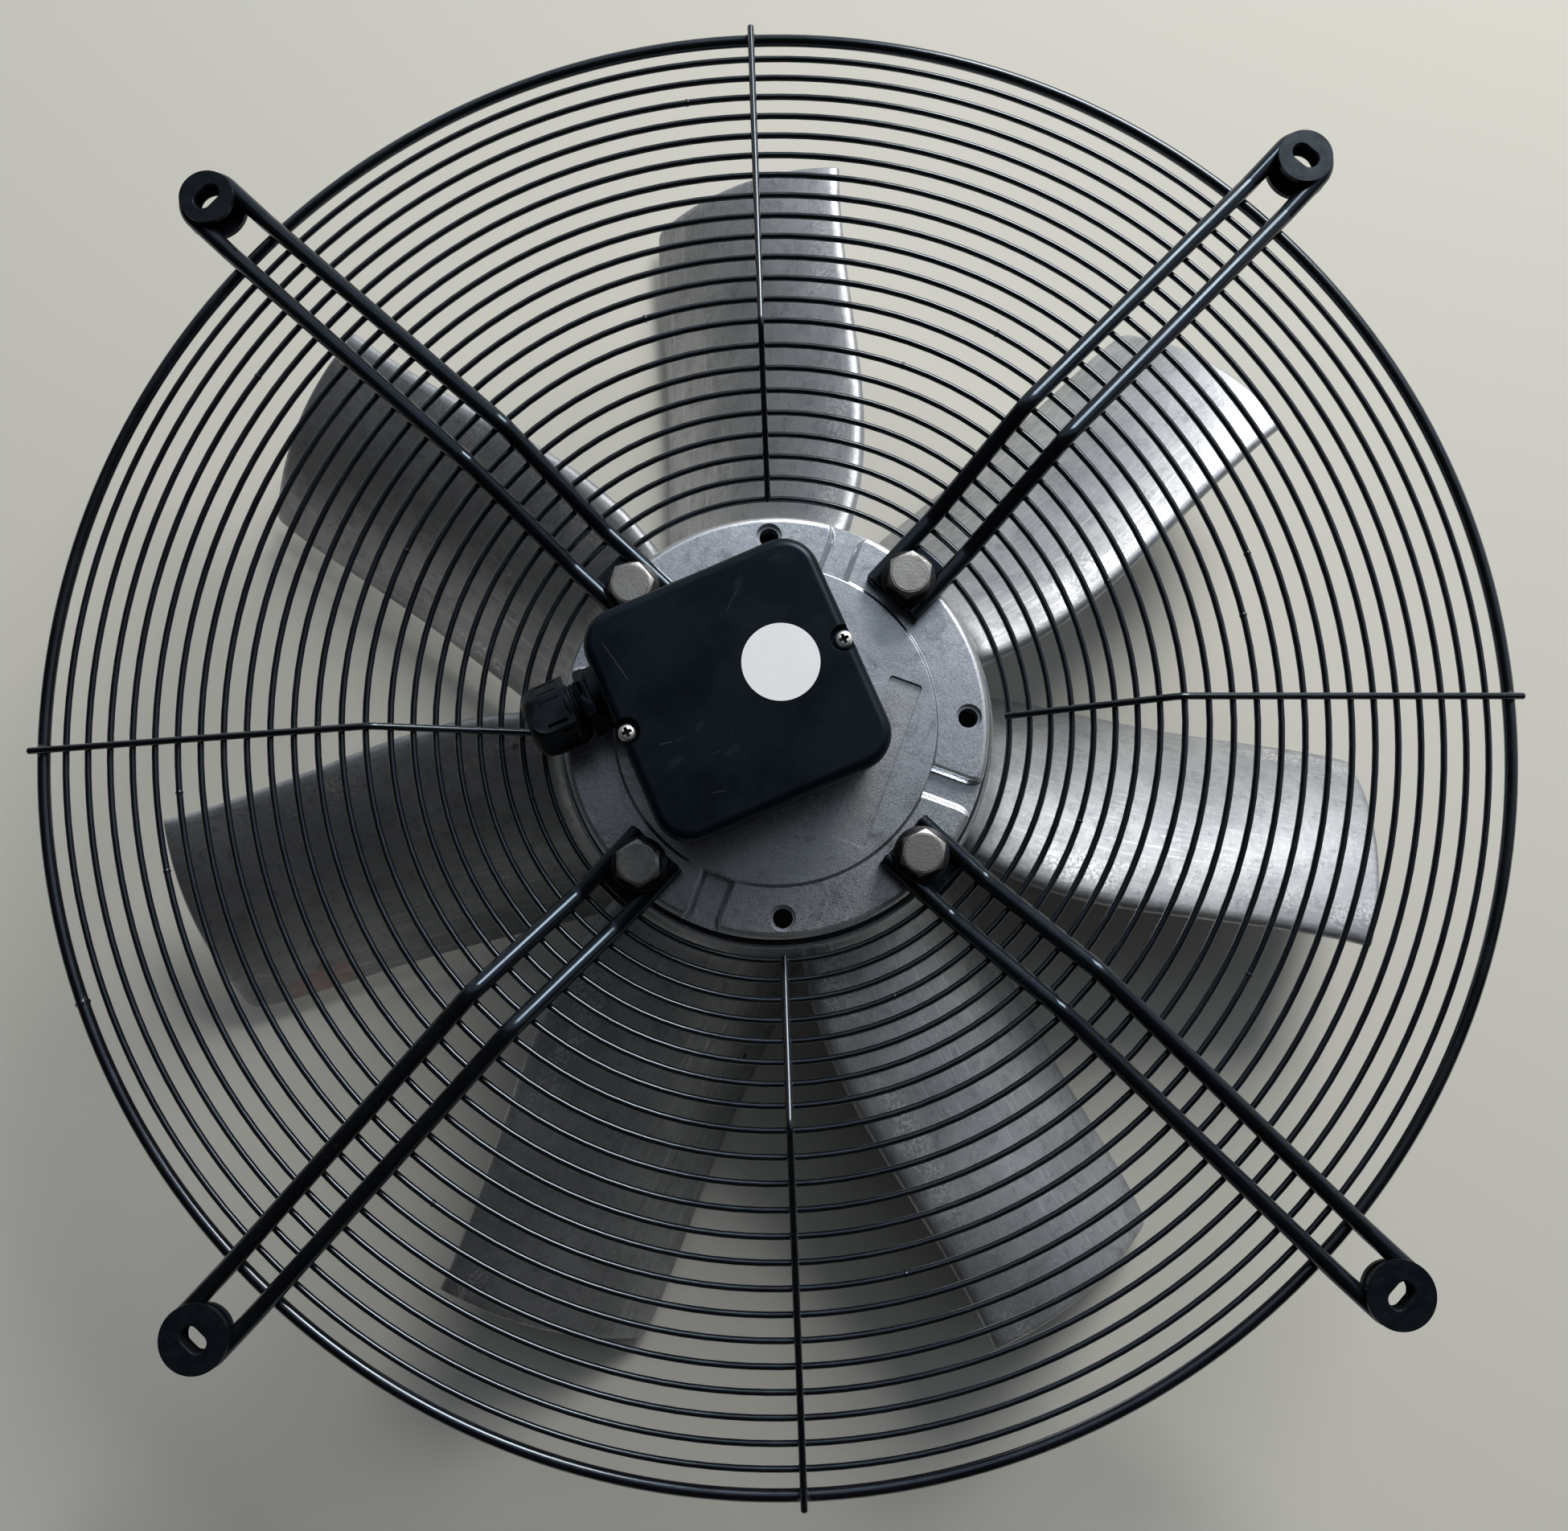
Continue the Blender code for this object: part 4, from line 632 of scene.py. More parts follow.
# middle, half size, turn, tint and share of each mark: rust, a dark spot at a small pit, a bare
# nick, a stain
for mark in (((-0.1130, 0.0004, 0.0855), (0.0030, 0.0020, 0.010), 0.5, (0.20, 0.11, 0.07), 0.8),
             ((-0.0206, -0.1396, 0.0225), (0.0024, 0.0016, 0.010), 1.2, (0.05, 0.05, 0.055), 0.9),
             ((-0.1193, 0.0837, 0.0596), (0.0018, 0.0014, 0.010), 0.0, (0.72, 0.72, 0.73), 0.7),
             ((-0.2180, -0.0970, 0.0120), (0.0300, 0.0110, 0.030), 0.35, (0.58, 0.36, 0.32), 0.5)):
    blade_colour = marked(tree, skin_place, blade_colour, *mark)
show(tree, blade_shader, blade_colour, skin["Roughness"], skin["Height"], 0.00010)


def apply_place(piece):
    """Applies where a piece has been put, so that it is left untransformed."""
    pick(piece)
    bpy.ops.object.transform_apply(location=True, rotation=True, scale=True)
    return piece


def settle(piece, place=(0, 0, 0), turn=0.0):
    """Puts a piece at its place, turned about the upright axis, for good."""
    piece.location = place
    piece.rotation_euler = (0, 0, turn)
    return apply_place(piece)


def copy_of(piece, name, place=(0, 0, 0), turn=0.0):
    """A copy with its own mesh, settled at its place."""
    pick(piece)
    bpy.ops.object.duplicate(linked=False)
    twin = bpy.context.object
    twin.name = twin.data.name = name
    return settle(twin, place, turn)


pick(first_blade)
bpy.ops.object.shade_smooth_by_angle(angle=radians(50))
blades = [first_blade]
for i in range(1, BLADE_COUNT):
    blades.append(copy_of(first_blade, "cast_blade_%d" % (i + 1),
                          turn=-FULL_TURN * i / BLADE_COUNT))
for i, blade in enumerate(blades):
    dress(blade, "impeller", "cast_blades", blade_skin, "blade_%d" % (i + 1))


# Motor flange
# Die-cast disc that carries the stator, with a raised middle, eight screw holes, four
# water channels and a bare recess. It is left raw, and its edges are rubbed bright.

FLANGE_LOW = 0.1155
FLANGE_TOP = 0.1273
RIM_ROUND = 0.0030
DISC_R = 0.0650
DISC_RISE = 0.0010
DISC_STEP_OUT = 0.0010
DISC_STEP_IN = 0.0004
DISC_STEP_W = 0.0014
HOLE_COUNT = 8
HOLE_PITCH_R = 0.0780
BOLT_HOLE_R = 0.0052
FREE_HOLE_R = 0.0040
FREE_STEP_R = 0.0053
FREE_STEP_DEPTH = 0.0030
CHANNEL_W = 0.0110
CHANNEL_DEPTH = 0.0060
CHANNEL_FILLET = 0.0014
CHANNEL_FLARE = 0.0019
RECESS_W = 0.0140
RECESS_L = 0.0700
RECESS_DEPTH = 0.0018
RECESS_OUT = 0.0435
# angle of the recess and of the first channel, in degrees
FLANGE_TURN = -22.5
OVERRUN = 0.0020


def around(radius, angle, z=0.0):
    """A point at a radius, an angle and a height about the fan's axis."""
    return radius * cos(angle), radius * sin(angle), z


def edit_where(piece, kind, wanted):
    """Opens a piece in edit mode with only the wanted edges or faces selected."""
    pick(piece)
    bpy.ops.object.mode_set(mode='EDIT')
    bpy.ops.mesh.select_mode(type=kind)
    bpy.ops.mesh.select_all(action='DESELECT')
    bpy.ops.object.mode_set(mode='OBJECT')
    corners = piece.data.vertices
    for part in (piece.data.edges if kind == 'EDGE' else piece.data.polygons):
        part.select = wanted([corners[i].co for i in part.vertices])
    bpy.ops.object.mode_set(mode='EDIT')


def leave_edit():
    """Goes back to object mode, with vertices as the kind to select."""
    bpy.ops.mesh.select_mode(type='VERT')
    bpy.ops.object.mode_set(mode='OBJECT')


def round_upright_edges(piece, radius, segments):
    """Bevels the edges that stand upright."""
    edit_where(piece, 'EDGE', lambda ends: abs((ends[1] - ends[0]).normalized().z) > 0.99)
    bpy.ops.mesh.bevel(offset=radius, segments=segments, affect='EDGES')
    leave_edit()


def drilled(name, radius, low, high, at=(0, 0), sides=40):
    """An upright bar, round unless it has few sides, to cut with or to cut from."""
    bpy.ops.mesh.primitive_cylinder_add(vertices=sides, radius=radius, depth=high - low,
                                        location=(at[0], at[1], (low + high) / 2))
    cutter = bpy.context.object
    cutter.name = cutter.data.name = name
    return cutter


def milled(name, size, middle, turn=0.0, corner=0.0):
    """A block, to cut with or to cut from, with its upright edges rounded, turned about the
    fan's axis."""
    bpy.ops.mesh.primitive_cube_add(size=1, location=middle)
    cutter = bpy.context.object
    cutter.name = cutter.data.name = name
    cutter.scale = size
    apply_place(cutter)
    if corner:
        round_upright_edges(cutter, corner, 6)
    cutter.rotation_euler = (0, 0, turn)
    return cutter


def cut(piece, cutters, kind='DIFFERENCE'):
    """Cuts with, or joins, each helper by an exact Boolean, and clears the helper away."""
    for cutter in cutters:
        apply_place(cutter)
        pick(piece)
        boolean = piece.modifiers.new("cut", 'BOOLEAN')
        boolean.operation = kind
        boolean.solver = 'EXACT'
        boolean.object = cutter
        bpy.ops.object.modifier_apply(modifier=boolean.name)
        bpy.data.objects.remove(cutter)
    return piece


def channel_core(angle):
    """The core that leaves a water channel: rounded floor, flared walls, splayed outer end."""
    floor, top = FLANGE_TOP - CHANNEL_DEPTH, FLANGE_TOP + 0.00004
    sections = []
    for radius, widen in ((DISC_R, 0.0), (FLANGE_R - 0.0060, 0.0), (FLANGE_R - 0.0042, 0.0003),
                          (FLANGE_R - 0.0026, 0.0010), (FLANGE_R - 0.0014, 0.0019),
                          (FLANGE_R - 0.0004, 0.0032), (FLANGE_R + OVERRUN, 0.0068)):
        half = CHANNEL_W / 2 + widen
        side = [(half - CHANNEL_FILLET + CHANNEL_FILLET * sin(radians(a)),
                 floor + CHANNEL_FILLET - CHANNEL_FILLET * cos(radians(a)))
                for a in range(0, 91, 18)]
        side += [(half + 0.0003 + CHANNEL_FLARE - CHANNEL_FLARE * cos(radians(a)),
                  top - CHANNEL_FLARE + CHANNEL_FLARE * sin(radians(a)))
                 for a in range(0, 91, 15)]
        side.append((side[-1][0], top + 0.0030))
        ring = side + [(-y, z) for y, z in reversed(side)]
        sections.append([Vector((radius, y, z)) for y, z in ring])
    core = skin_over("channel_core", sections)
    core.rotation_euler = (0, 0, angle)
    return core


flange_section = [(0, FLANGE_LOW), (FLANGE_R, FLANGE_LOW)]
flange_section += quarter_round(FLANGE_R - RIM_ROUND, FLANGE_TOP - RIM_ROUND, RIM_ROUND, 0, 6)
flange_section += [(DISC_R + DISC_STEP_OUT - DISC_STEP_W * i / 8,
                    FLANGE_TOP + DISC_RISE * (1 - cos(pi * i / 8)) / 2) for i in range(8)]
flange_section += [(DISC_R - DISC_STEP_IN, FLANGE_TOP + DISC_RISE), (0, FLANGE_TOP + DISC_RISE)]
flange = turn_on_lathe("cast_motor_flange", flange_section, 144)

cutters = []
for i in range(HOLE_COUNT):
    spot = around(HOLE_PITCH_R, FULL_TURN * i / HOLE_COUNT)
    ends = FLANGE_LOW - OVERRUN, FLANGE_TOP + OVERRUN
    if i % 2:
        cutters.append(drilled("bolt_hole", BOLT_HOLE_R, *ends, spot))
    else:
        cutters.append(drilled("free_hole", FREE_HOLE_R, *ends, spot))
        cutters.append(drilled("free_hole_step", FREE_STEP_R, FLANGE_TOP - FREE_STEP_DEPTH,
                               FLANGE_TOP + OVERRUN, spot))
cutters += [channel_core(radians(FLANGE_TURN + 90 * i)) for i in range(4)]
cutters.append(milled("bare_recess", (RECESS_W, RECESS_L, RECESS_DEPTH + OVERRUN),
                      (RECESS_OUT, 0, FLANGE_TOP + DISC_RISE + (OVERRUN - RECESS_DEPTH) / 2),
                      radians(FLANGE_TURN), 0.0015))
cut(flange, cutters)
coat(flange, cast_motor, cast_worn, cast_shaded_recess)
soften(flange, 0.0004, edge_finish=1)

# The flared walls and the round of the rim are worn. The floor of the recess is not, and takes the
# darker copy of the cast finish, painted shade in the recess
across_recess = Vector(around(1.0, radians(FLANGE_TURN)))
for face in flange.data.polygons:
    height, reach = face.center.z, face.center.xy.length
    if (0.25 < face.normal.z < 0.985 and height > FLANGE_TOP - 0.0026
            and reach > DISC_R + 0.0030):
        face.material_index = 1
    if (FLANGE_LOW + 0.0050 < height < FLANGE_TOP + DISC_RISE - 0.0002
            and abs(face.center.dot(across_recess) - RECESS_OUT) < RECESS_W / 2 + 0.0005
            and reach < DISC_R - 0.0010):
        face.material_index = 2
dress(flange, "fixed_frame", "cast_motor_parts", cast_motor, "stator_flange")


# Bearing tube
# Cast tube under the flange that holds the stator iron and both bearings. It keeps the
# shape of the model inside the motor.

coat(cad["bearing_tube"], cast_motor)


# Wire guard
# Thin steel rings lie under four bent spokes and are spot welded where they cross, with a
# thick ring round the outside. The whole guard is then coated gloss black.

GUARD_R = 0.2961
OUTER_WIRE_D = 0.0050
RING_WIRE_D = 0.0026
SPOKE_WIRE_D = 0.0028
SPOKE_COUNT = 4
SPOKE_BEND_R = 0.1547
SPOKE_BEND_Z = 0.1610
SPOKE_OUTER = (0.3012, 0.12862)
SPOKE_INNER = (0.0930, 0.12505)
OUTER_SLOPE = atan2(SPOKE_BEND_Z - SPOKE_OUTER[1], SPOKE_OUTER[0] - SPOKE_BEND_R)
INNER_SLOPE = atan2(SPOKE_BEND_Z - SPOKE_INNER[1], SPOKE_BEND_R - SPOKE_INNER[0])
WELD_DEPTH = 0.0003
RING_DROP = (RING_WIRE_D + SPOKE_WIRE_D) / 2 - WELD_DEPTH
# first radius, step and number of the rings on the outer slope, then on the inner one
OUTER_RINGS = (GUARD_R - 0.0107, -0.0099, 14)
INNER_RINGS = (0.0948, 0.00763, 8)
# half sizes of a ring's spot welds and of the bead on its seam, and where the bead is
RING_SPOT = (0.0015, 0.0021, 0.0011)
RING_SEAM = (RING_WIRE_D * 0.62, RING_WIRE_D * 0.8, RING_WIRE_D * 0.62)
OUTER_SPOT = (0.0024, 0.0030, 0.0012)
OUTER_SEAM = (0.0031, 0.0040, 0.0031)
OUTER_SEAM_ANGLE = radians(200)
SPOKE_BEND_ROUND = 0.0080

wire_black = coated_finish(
    "black_coated_wire", (0.0030, 0.0033, 0.0045), dusty=(0.05, 0.05, 0.05), roughness=0.22,
    spread=0.06, grain=0.0009, patch=0.020, depth=0.00002)
wire_shader = wire_black.node_tree.nodes["Principled BSDF"]
wire_shader.inputs["Coat Weight"].default_value = 0.6
wire_shader.inputs["Coat Roughness"].default_value = 0.12


def spoke_height(radius):
    """Height of a spoke's middle line over a radius."""
    if radius > SPOKE_BEND_R:
        return SPOKE_BEND_Z - tan(OUTER_SLOPE) * (radius - SPOKE_BEND_R)
    return SPOKE_BEND_Z - tan(INNER_SLOPE) * (SPOKE_BEND_R - radius)


def join_as(name, parts):
    """Joins parts into one piece."""
    bpy.ops.object.select_all(action='DESELECT')
    for part in parts:
        part.select_set(True)
    bpy.context.view_layer.objects.active = parts[0]
    bpy.ops.object.join()
    piece = bpy.context.object
    piece.name = piece.data.name = name
    return apply_place(piece)


def weld_bead(radius, angle, height, size):
    """A drop of weld metal, flattened under the coating."""
    bpy.ops.mesh.primitive_ico_sphere_add(
        subdivisions=1, radius=1, location=around(radius, angle, height),
        rotation=(0, 0, angle))
    bead = bpy.context.object
    bead.scale = size
    return bead


def guard_ring(radius, wire_d, height, spot_size, seam, seam_size, round_steps, wire_steps):
    """A closed ring of wire, with a spot weld under each spoke and a bead on its seam."""
    bpy.ops.mesh.primitive_torus_add(major_radius=radius, minor_radius=wire_d / 2,
                                     major_segments=round_steps, minor_segments=wire_steps,
                                     location=(0, 0, height))
    parts = [bpy.context.object, weld_bead(radius, seam, height, seam_size)]
    for k in range(SPOKE_COUNT):
        parts.append(weld_bead(radius, FULL_TURN * k / SPOKE_COUNT, height + wire_d / 2,
                               spot_size))
    return parts


rings = []
for (first, step, count), slope in ((OUTER_RINGS, OUTER_SLOPE), (INNER_RINGS, INNER_SLOPE)):
    for k in range(count):
        radius, i = first + step * k, len(rings)
        rings.append(guard_ring(
            radius, RING_WIRE_D, spoke_height(radius) - RING_DROP / cos(slope), RING_SPOT,
            radians(37 * i + 11 * (i % 5)), RING_SEAM, max(96, int(radius * 640)), 10))
guard_rings = join_as("guard_rings", [part for parts in rings for part in parts])
bpy.ops.object.shade_smooth()
dress(guard_rings, "fixed_frame", "coated_wire", wire_black, "guard_grille")

outer_height = spoke_height(GUARD_R) - (OUTER_WIRE_D + SPOKE_WIRE_D) / 2 + WELD_DEPTH
outer_ring = join_as("guard_outer_ring", guard_ring(
    GUARD_R, OUTER_WIRE_D, outer_height, OUTER_SPOT, OUTER_SEAM_ANGLE, OUTER_SEAM, 240, 16))
bpy.ops.object.shade_smooth()
dress(outer_ring, "fixed_frame", "coated_wire", wire_black)


def bend_wire(name, corners, diameter, bend_r, sides=14):
    """Pushes round wire through the bender: straight runs, and a bend at each inner corner."""
    corners = [Vector(corner) for corner in corners]
    heading = (corners[1] - corners[0]).normalized()
    bpy.ops.mesh.primitive_circle_add(vertices=sides, radius=diameter / 2, fill_type='NGON',
                                      location=corners[0],
                                      rotation=heading.to_track_quat('Z', 'Y').to_euler())
    wire = bpy.context.object
    wire.name = wire.data.name = name
    bpy.ops.object.mode_set(mode='EDIT')
    bpy.ops.mesh.select_all(action='SELECT')
    here = corners[0]
    for corner, after in zip(corners[1:], corners[2:] + [None]):
        run = (corner - here).length
        if after is not None:
            turn_to = (after - corner).normalized()
            bend = heading.angle(turn_to)
            run -= bend_r * tan(bend / 2)
        if run > 0.00001:
            bpy.ops.mesh.extrude_region_move(TRANSFORM_OT_translate={"value": heading * run})
            here = here + heading * run
        if after is not None:
            about = heading.cross(turn_to).normalized()
            centre = here + about.cross(heading) * bend_r
            steps = max(3, round(bend / radians(7.5)))
            bpy.ops.mesh.spin(steps=steps, angle=-bend, center=centre, axis=about)
            here = centre + Matrix.Rotation(bend, 3, about) @ (here - centre)
            heading = turn_to
    clean_shell()
    apply_place(wire)
    bpy.ops.object.shade_smooth_by_angle(angle=radians(50))
    return wire


spoke_line = (SPOKE_OUTER, (SPOKE_BEND_R, SPOKE_BEND_Z), SPOKE_INNER)
spokes = join_as("guard_spokes", [
    bend_wire("spoke", [around(r, FULL_TURN * k / SPOKE_COUNT, z) for r, z in spoke_line],
              SPOKE_WIRE_D, SPOKE_BEND_ROUND) for k in range(SPOKE_COUNT)])
soften(spokes, 0.0004)
dress(spokes, "fixed_frame", "coated_wire", wire_black)


# Support arms
# Each is one hairpin of thick wire, bent over the guard, with both ends welded on a
# drilled steel plate. The arms are coated black with the guard, but duller.

ARM_WIRE_D = 0.0070
ARM_HALF = 0.0100
ARM_LINE = ((0.0690, 0.1348), (0.1031, 0.1348), (0.15415, 0.16454), (0.3000, 0.1323))
LOOP_R = 0.3228
LOOP_Z = ARM_LINE[-1][1]
PLATE_IN = 0.0685
PLATE_OUT = 0.0930
PLATE_LOW = 0.1276
PLATE_TOP = 0.1316
# where each pair of plate welds stands, and its half size
PLATE_WELDS = ((PLATE_OUT - 0.0005, (0.0032, 0.0045, 0.0022)),
               (PLATE_IN + 0.0012, (0.0020, 0.0040, 0.0018)))
ARM_NAMES = ("upper_right", "upper_left", "lower_left", "lower_right")
ARM_ANGLES = [radians(45 + 90 * i) for i in range(4)]

arm_black = coated_finish(
    "black_coated_arms", (0.0038, 0.0042, 0.0055), dusty=(0.06, 0.06, 0.055), roughness=0.19,
    spread=0.05, grain=0.0008, patch=0.018, depth=0.00002)

leg_out = [(r, ARM_HALF, z) for r, z in ARM_LINE]
leg_back = [(r, -ARM_HALF, z) for r, z in reversed(ARM_LINE)]
loop = [(LOOP_R + ARM_HALF, side, LOOP_Z) for side in (ARM_HALF, -ARM_HALF)]
arm_parts = [bend_wire("hairpin", leg_out + loop + leg_back, ARM_WIRE_D, ARM_HALF, 20)]
plate = milled("bolt_plate", (PLATE_OUT - PLATE_IN, 2 * ARM_HALF + ARM_WIRE_D,
                              PLATE_TOP - PLATE_LOW),
               ((PLATE_IN + PLATE_OUT) / 2, 0, (PLATE_LOW + PLATE_TOP) / 2), corner=0.0010)
cut(plate, [drilled("plate_hole", BOLT_HOLE_R, PLATE_LOW - OVERRUN, PLATE_TOP + OVERRUN,
                    (HOLE_PITCH_R, 0))])
arm_parts.append(soften(plate, 0.0005))
for side in (ARM_HALF, -ARM_HALF):
    for reach, size in PLATE_WELDS:
        bead = pick(weld_bead(0, 0, 0, size))
        bead.location = (reach, side, PLATE_TOP + 0.0004)
        rounder = bead.modifiers.new("round", 'SUBSURF')
        rounder.levels = rounder.render_levels = 2
        bpy.ops.object.modifier_apply(modifier=rounder.name)
        bpy.ops.object.shade_smooth()
        arm_parts.append(bead)


def one_on_each_arm(pattern, name, slot, finish, node, radius=0.0, z=0.0,
                    arms=ARM_NAMES, spins=(0, 0, 0, 0)):
    """Copies a pattern to the arms, at a radius and turned with each, and clears it away."""
    for arm, angle, spin in zip(ARM_NAMES, ARM_ANGLES, spins):
        if arm in arms:
            piece = copy_of(pattern, name + arm, around(radius, angle, z), angle + spin)
            dress(piece, "fixed_frame", slot, finish, node + arm)
    bpy.data.objects.remove(pattern)


one_on_each_arm(join_as("arm_pattern", arm_parts), "hairpin_arm_", "coated_wire", arm_black,
                "support_arm_")


# Mounting bushes
# Moulded black plastic spools that snap into the loops of the arms, slotted for the
# fixing screws. The wide flange is underneath on the upper two, on top on the lower two.

BUSH_WIDE_D = 0.0265
BUSH_SMALL_D = 0.0225
BUSH_NECK_R = 0.0062
GROOVE_HALF = 0.0038
BUSH_TOP = GROOVE_HALF + 0.0024
SLOT_L = 0.0107
SLOT_W = 0.0065
SLOT_MOUTH = 0.0009
SCREW_SEAT_R = 0.0059
SEAT_MOUTH_R = 0.0066

bush_black = coated_finish(
    "black_bush_plastic", (0.0040, 0.0052, 0.0075), dusty=(0.07, 0.075, 0.08), roughness=0.42,
    spread=0.07, grain=0.0005, patch=0.006, depth=0.00006, gloss=0.20)
# The walls inside the slot take a copy of the bush plastic that reflects nothing, a painted shade
# that keeps the slot dark
bore_painted_shade, _, bore_shader = new_finish("black_bush_bore_painted_shade", (0.006, 0.007, 0.009), 0.9)
bore_shader.inputs["Specular IOR Level"].default_value = 0.0


def moulded_bush(top_d, low_d):
    """A spool turned about its own axis, with its slot cut through."""
    section = [(0, -BUSH_TOP), (low_d / 2, -BUSH_TOP), (low_d / 2, -GROOVE_HALF),
               (BUSH_NECK_R, -GROOVE_HALF), (BUSH_NECK_R, GROOVE_HALF),
               (top_d / 2, GROOVE_HALF), (top_d / 2, BUSH_TOP), (0, BUSH_TOP)]
    bush = turn_on_lathe("bush_pattern", section, 56)
    slot = milled("slot", (SLOT_W + 0.0004, SLOT_L + 0.0004, 4 * BUSH_TOP), (0, 0, 0),
                  corner=SLOT_W / 2)
    seat = drilled("screw_seat", SCREW_SEAT_R, -BUSH_TOP - OVERRUN, -0.0008, sides=48)
    mouth = drilled("seat_mouth", SEAT_MOUTH_R, -BUSH_TOP - OVERRUN, -BUSH_TOP + 0.0018,
                    sides=48)
    cut(bush, [slot, seat, mouth])
    edit_where(bush, 'EDGE', lambda ends: all(
        end.z > BUSH_TOP - 0.00001 and end.xy.length < SLOT_L / 2 + 0.0005 for end in ends))
    bpy.ops.mesh.bevel(offset=SLOT_MOUTH, segments=3, affect='EDGES')
    leave_edit()
    coat(bush, bush_black, bore_painted_shade)
    soften(bush, 0.0005, 3)
    # The upright faces inside the neck take that painted shade
    for face in bush.data.polygons:
        if abs(face.normal.z) < 0.2 and face.center.xy.length < BUSH_NECK_R - 0.0001:
            face.material_index = 1
    return bush


for top_d, low_d, arms in ((BUSH_SMALL_D, BUSH_WIDE_D, ARM_NAMES[:2]),
                           (BUSH_WIDE_D, BUSH_SMALL_D, ARM_NAMES[2:])):
    one_on_each_arm(moulded_bush(top_d, low_d), "spool_bush_", "bush_plastic", bush_black,
                    "mounting_bush_", LOOP_R, LOOP_Z, arms)


# Washers
# Dark phosphated steel washers under the bolt heads, pressed slightly conical, with a
# rounded outer edge. Each bears on the two legs of its arm.

WASHER_LOW = 0.1386
WASHER_T = 0.0025
WASHER_R = 0.0110
WASHER_FLAT_R = 0.0090
WASHER_BORE_R = 0.0053


def grained_finish(name, first, second, roughness, metallic, grain, patch, depth, share=1.0):
    """Two near colours in patches, with a fine grain."""
    finish, tree, shader = new_finish(name, first, roughness, metallic)
    surface = add_grain(tree, grain, patch)
    colour = blend_colours(tree, times(tree, surface["Patches"], share), first, second)
    show(tree, shader, colour, height=surface["Height"], depth=depth)
    return finish


# The washers' dark steel also serves as painted shade inside the lid screws' cross recesses
dark_steel_and_recess_shade = grained_finish("dark_washer_steel_and_recess_shade", (0.008, 0.008, 0.009), (0.030, 0.030, 0.033),
                            roughness=0.40, metallic=0.6, grain=0.0005, patch=0.006,
                            depth=0.00005)
washer_section = [(WASHER_BORE_R, 0.0008), (WASHER_FLAT_R, 0), (WASHER_R, 0.0002),
                  (WASHER_R, 0.0014), (WASHER_R - 0.0012, WASHER_T - 0.0005),
                  (WASHER_FLAT_R, WASHER_T), (WASHER_BORE_R, WASHER_T)]
washer = soften(turn_on_lathe("washer_pattern", washer_section, 64), 0.0004, 3)
one_on_each_arm(washer, "cone_washer_", "dark_washers", dark_steel_and_recess_shade, "arm_washer_",
                HOLE_PITCH_R, WASHER_LOW)


# Arm bolts
# Zinc-plated hexagon screws, each head cold formed with a chamfered crown. Their faces
# are bare, with the faint rings of the heading die.

BOLT_AF = 0.0163
BOLT_HEAD_H = 0.0064
HEAD_LOW = 0.1414
BOLT_LENGTH = 0.0256
SHANK_R = 0.0049
SHANK_POINT_R = 0.0042
# the head's chamfer, from its foot to the flat top, and the step round its raised crown
CHAMFER_FOOT_R = 0.0110
CHAMFER_DEPTH = 0.0021
CHAMFER_TOP_R = 0.00745
CROWN_R = 0.0071
CROWN_STEP = 0.00022
# how far each bolt happens to be turned
BOLT_SPINS = (0.10, 0.42, 0.25, 0.63)

bright_zinc, tree, zinc_shader = new_finish("bright_zinc", (0.60, 0.59, 0.56), 0.36, 1.0)
zinc_place = own_place(tree)
zinc_wide = noise(tree, zinc_place, 180)
head_place = add_node(tree, 'UVMap', {}, uv_map="HeadMap").outputs["UV"]
die_rings = add_node(tree, 'TexWave', {"Vector": head_place, "Scale": 3.2, "Distortion": 1.2},
                     wave_type='RINGS', rings_direction='Z').outputs["Fac"]
zinc_colour = blend_colours(tree, remap(tree, zinc_wide, 0.35, 0.65),
                            (0.27, 0.265, 0.25), (0.50, 0.49, 0.47))
zinc_colour = blend_colours(tree, times(tree, die_rings, 0.12), zinc_colour, (0.70, 0.69, 0.67))
show(tree, zinc_shader, zinc_colour, remap(tree, zinc_wide, 0.3, 0.7, 0.44, 0.30),
     noise(tree, zinc_place, 900, 3.0), 0.00006)


def hexagon_bar(name, across_flats, low, high):
    """Hexagon bar, cut to length."""
    return apply_place(drilled(name, across_flats / 2 / cos(pi / 6), low, high, sides=6))


head = hexagon_bar("bolt_head", BOLT_AF, 0, BOLT_HEAD_H)
crown = turn_on_lathe("crown", [
    (0, -0.001), (0.0125, -0.001), (CHAMFER_FOOT_R, BOLT_HEAD_H - CHAMFER_DEPTH),
    (CHAMFER_TOP_R, BOLT_HEAD_H - 0.00004), (0.0068, BOLT_HEAD_H + 0.0004),
    (0, BOLT_HEAD_H + 0.0004)], 72)
cut(head, [crown], 'INTERSECT')
step = turn_on_lathe("step", [
    (CROWN_R, BOLT_HEAD_H + 0.0010), (CROWN_R, BOLT_HEAD_H - 0.00002),
    (CROWN_R + 0.0002, BOLT_HEAD_H - CROWN_STEP), (0.0090, BOLT_HEAD_H - CROWN_STEP),
    (0.0090, BOLT_HEAD_H + 0.0010)], 72)
cut(head, [step])
soften(head, 0.00022, over=20)
shank = turn_on_lathe("shank", [
    (0, -BOLT_LENGTH), (SHANK_POINT_R, -BOLT_LENGTH), (SHANK_R, -BOLT_LENGTH + 0.0007),
    (SHANK_R, 0.0001), (0, 0.0001)], 40)
soften(shank, 0.0002)
bolt = join_as("bolt_pattern", [head, shank])
head_map = bolt.data.uv_layers.new(name="HeadMap")
for corner in bolt.data.loops:
    head_map.data[corner.index].uv = bolt.data.vertices[corner.vertex_index].co.xy * 100
one_on_each_arm(bolt, "hexagon_bolt_", "bright_fasteners", bright_zinc, "arm_bolt_",
                HOLE_PITCH_R, HEAD_LOW, spins=BOLT_SPINS)


# Terminal box
# Moulded box of black plastic screwed on the flange, turned a little against the spokes.
# Its sides draw in towards the foot, and a boss on the left takes the cable gland.

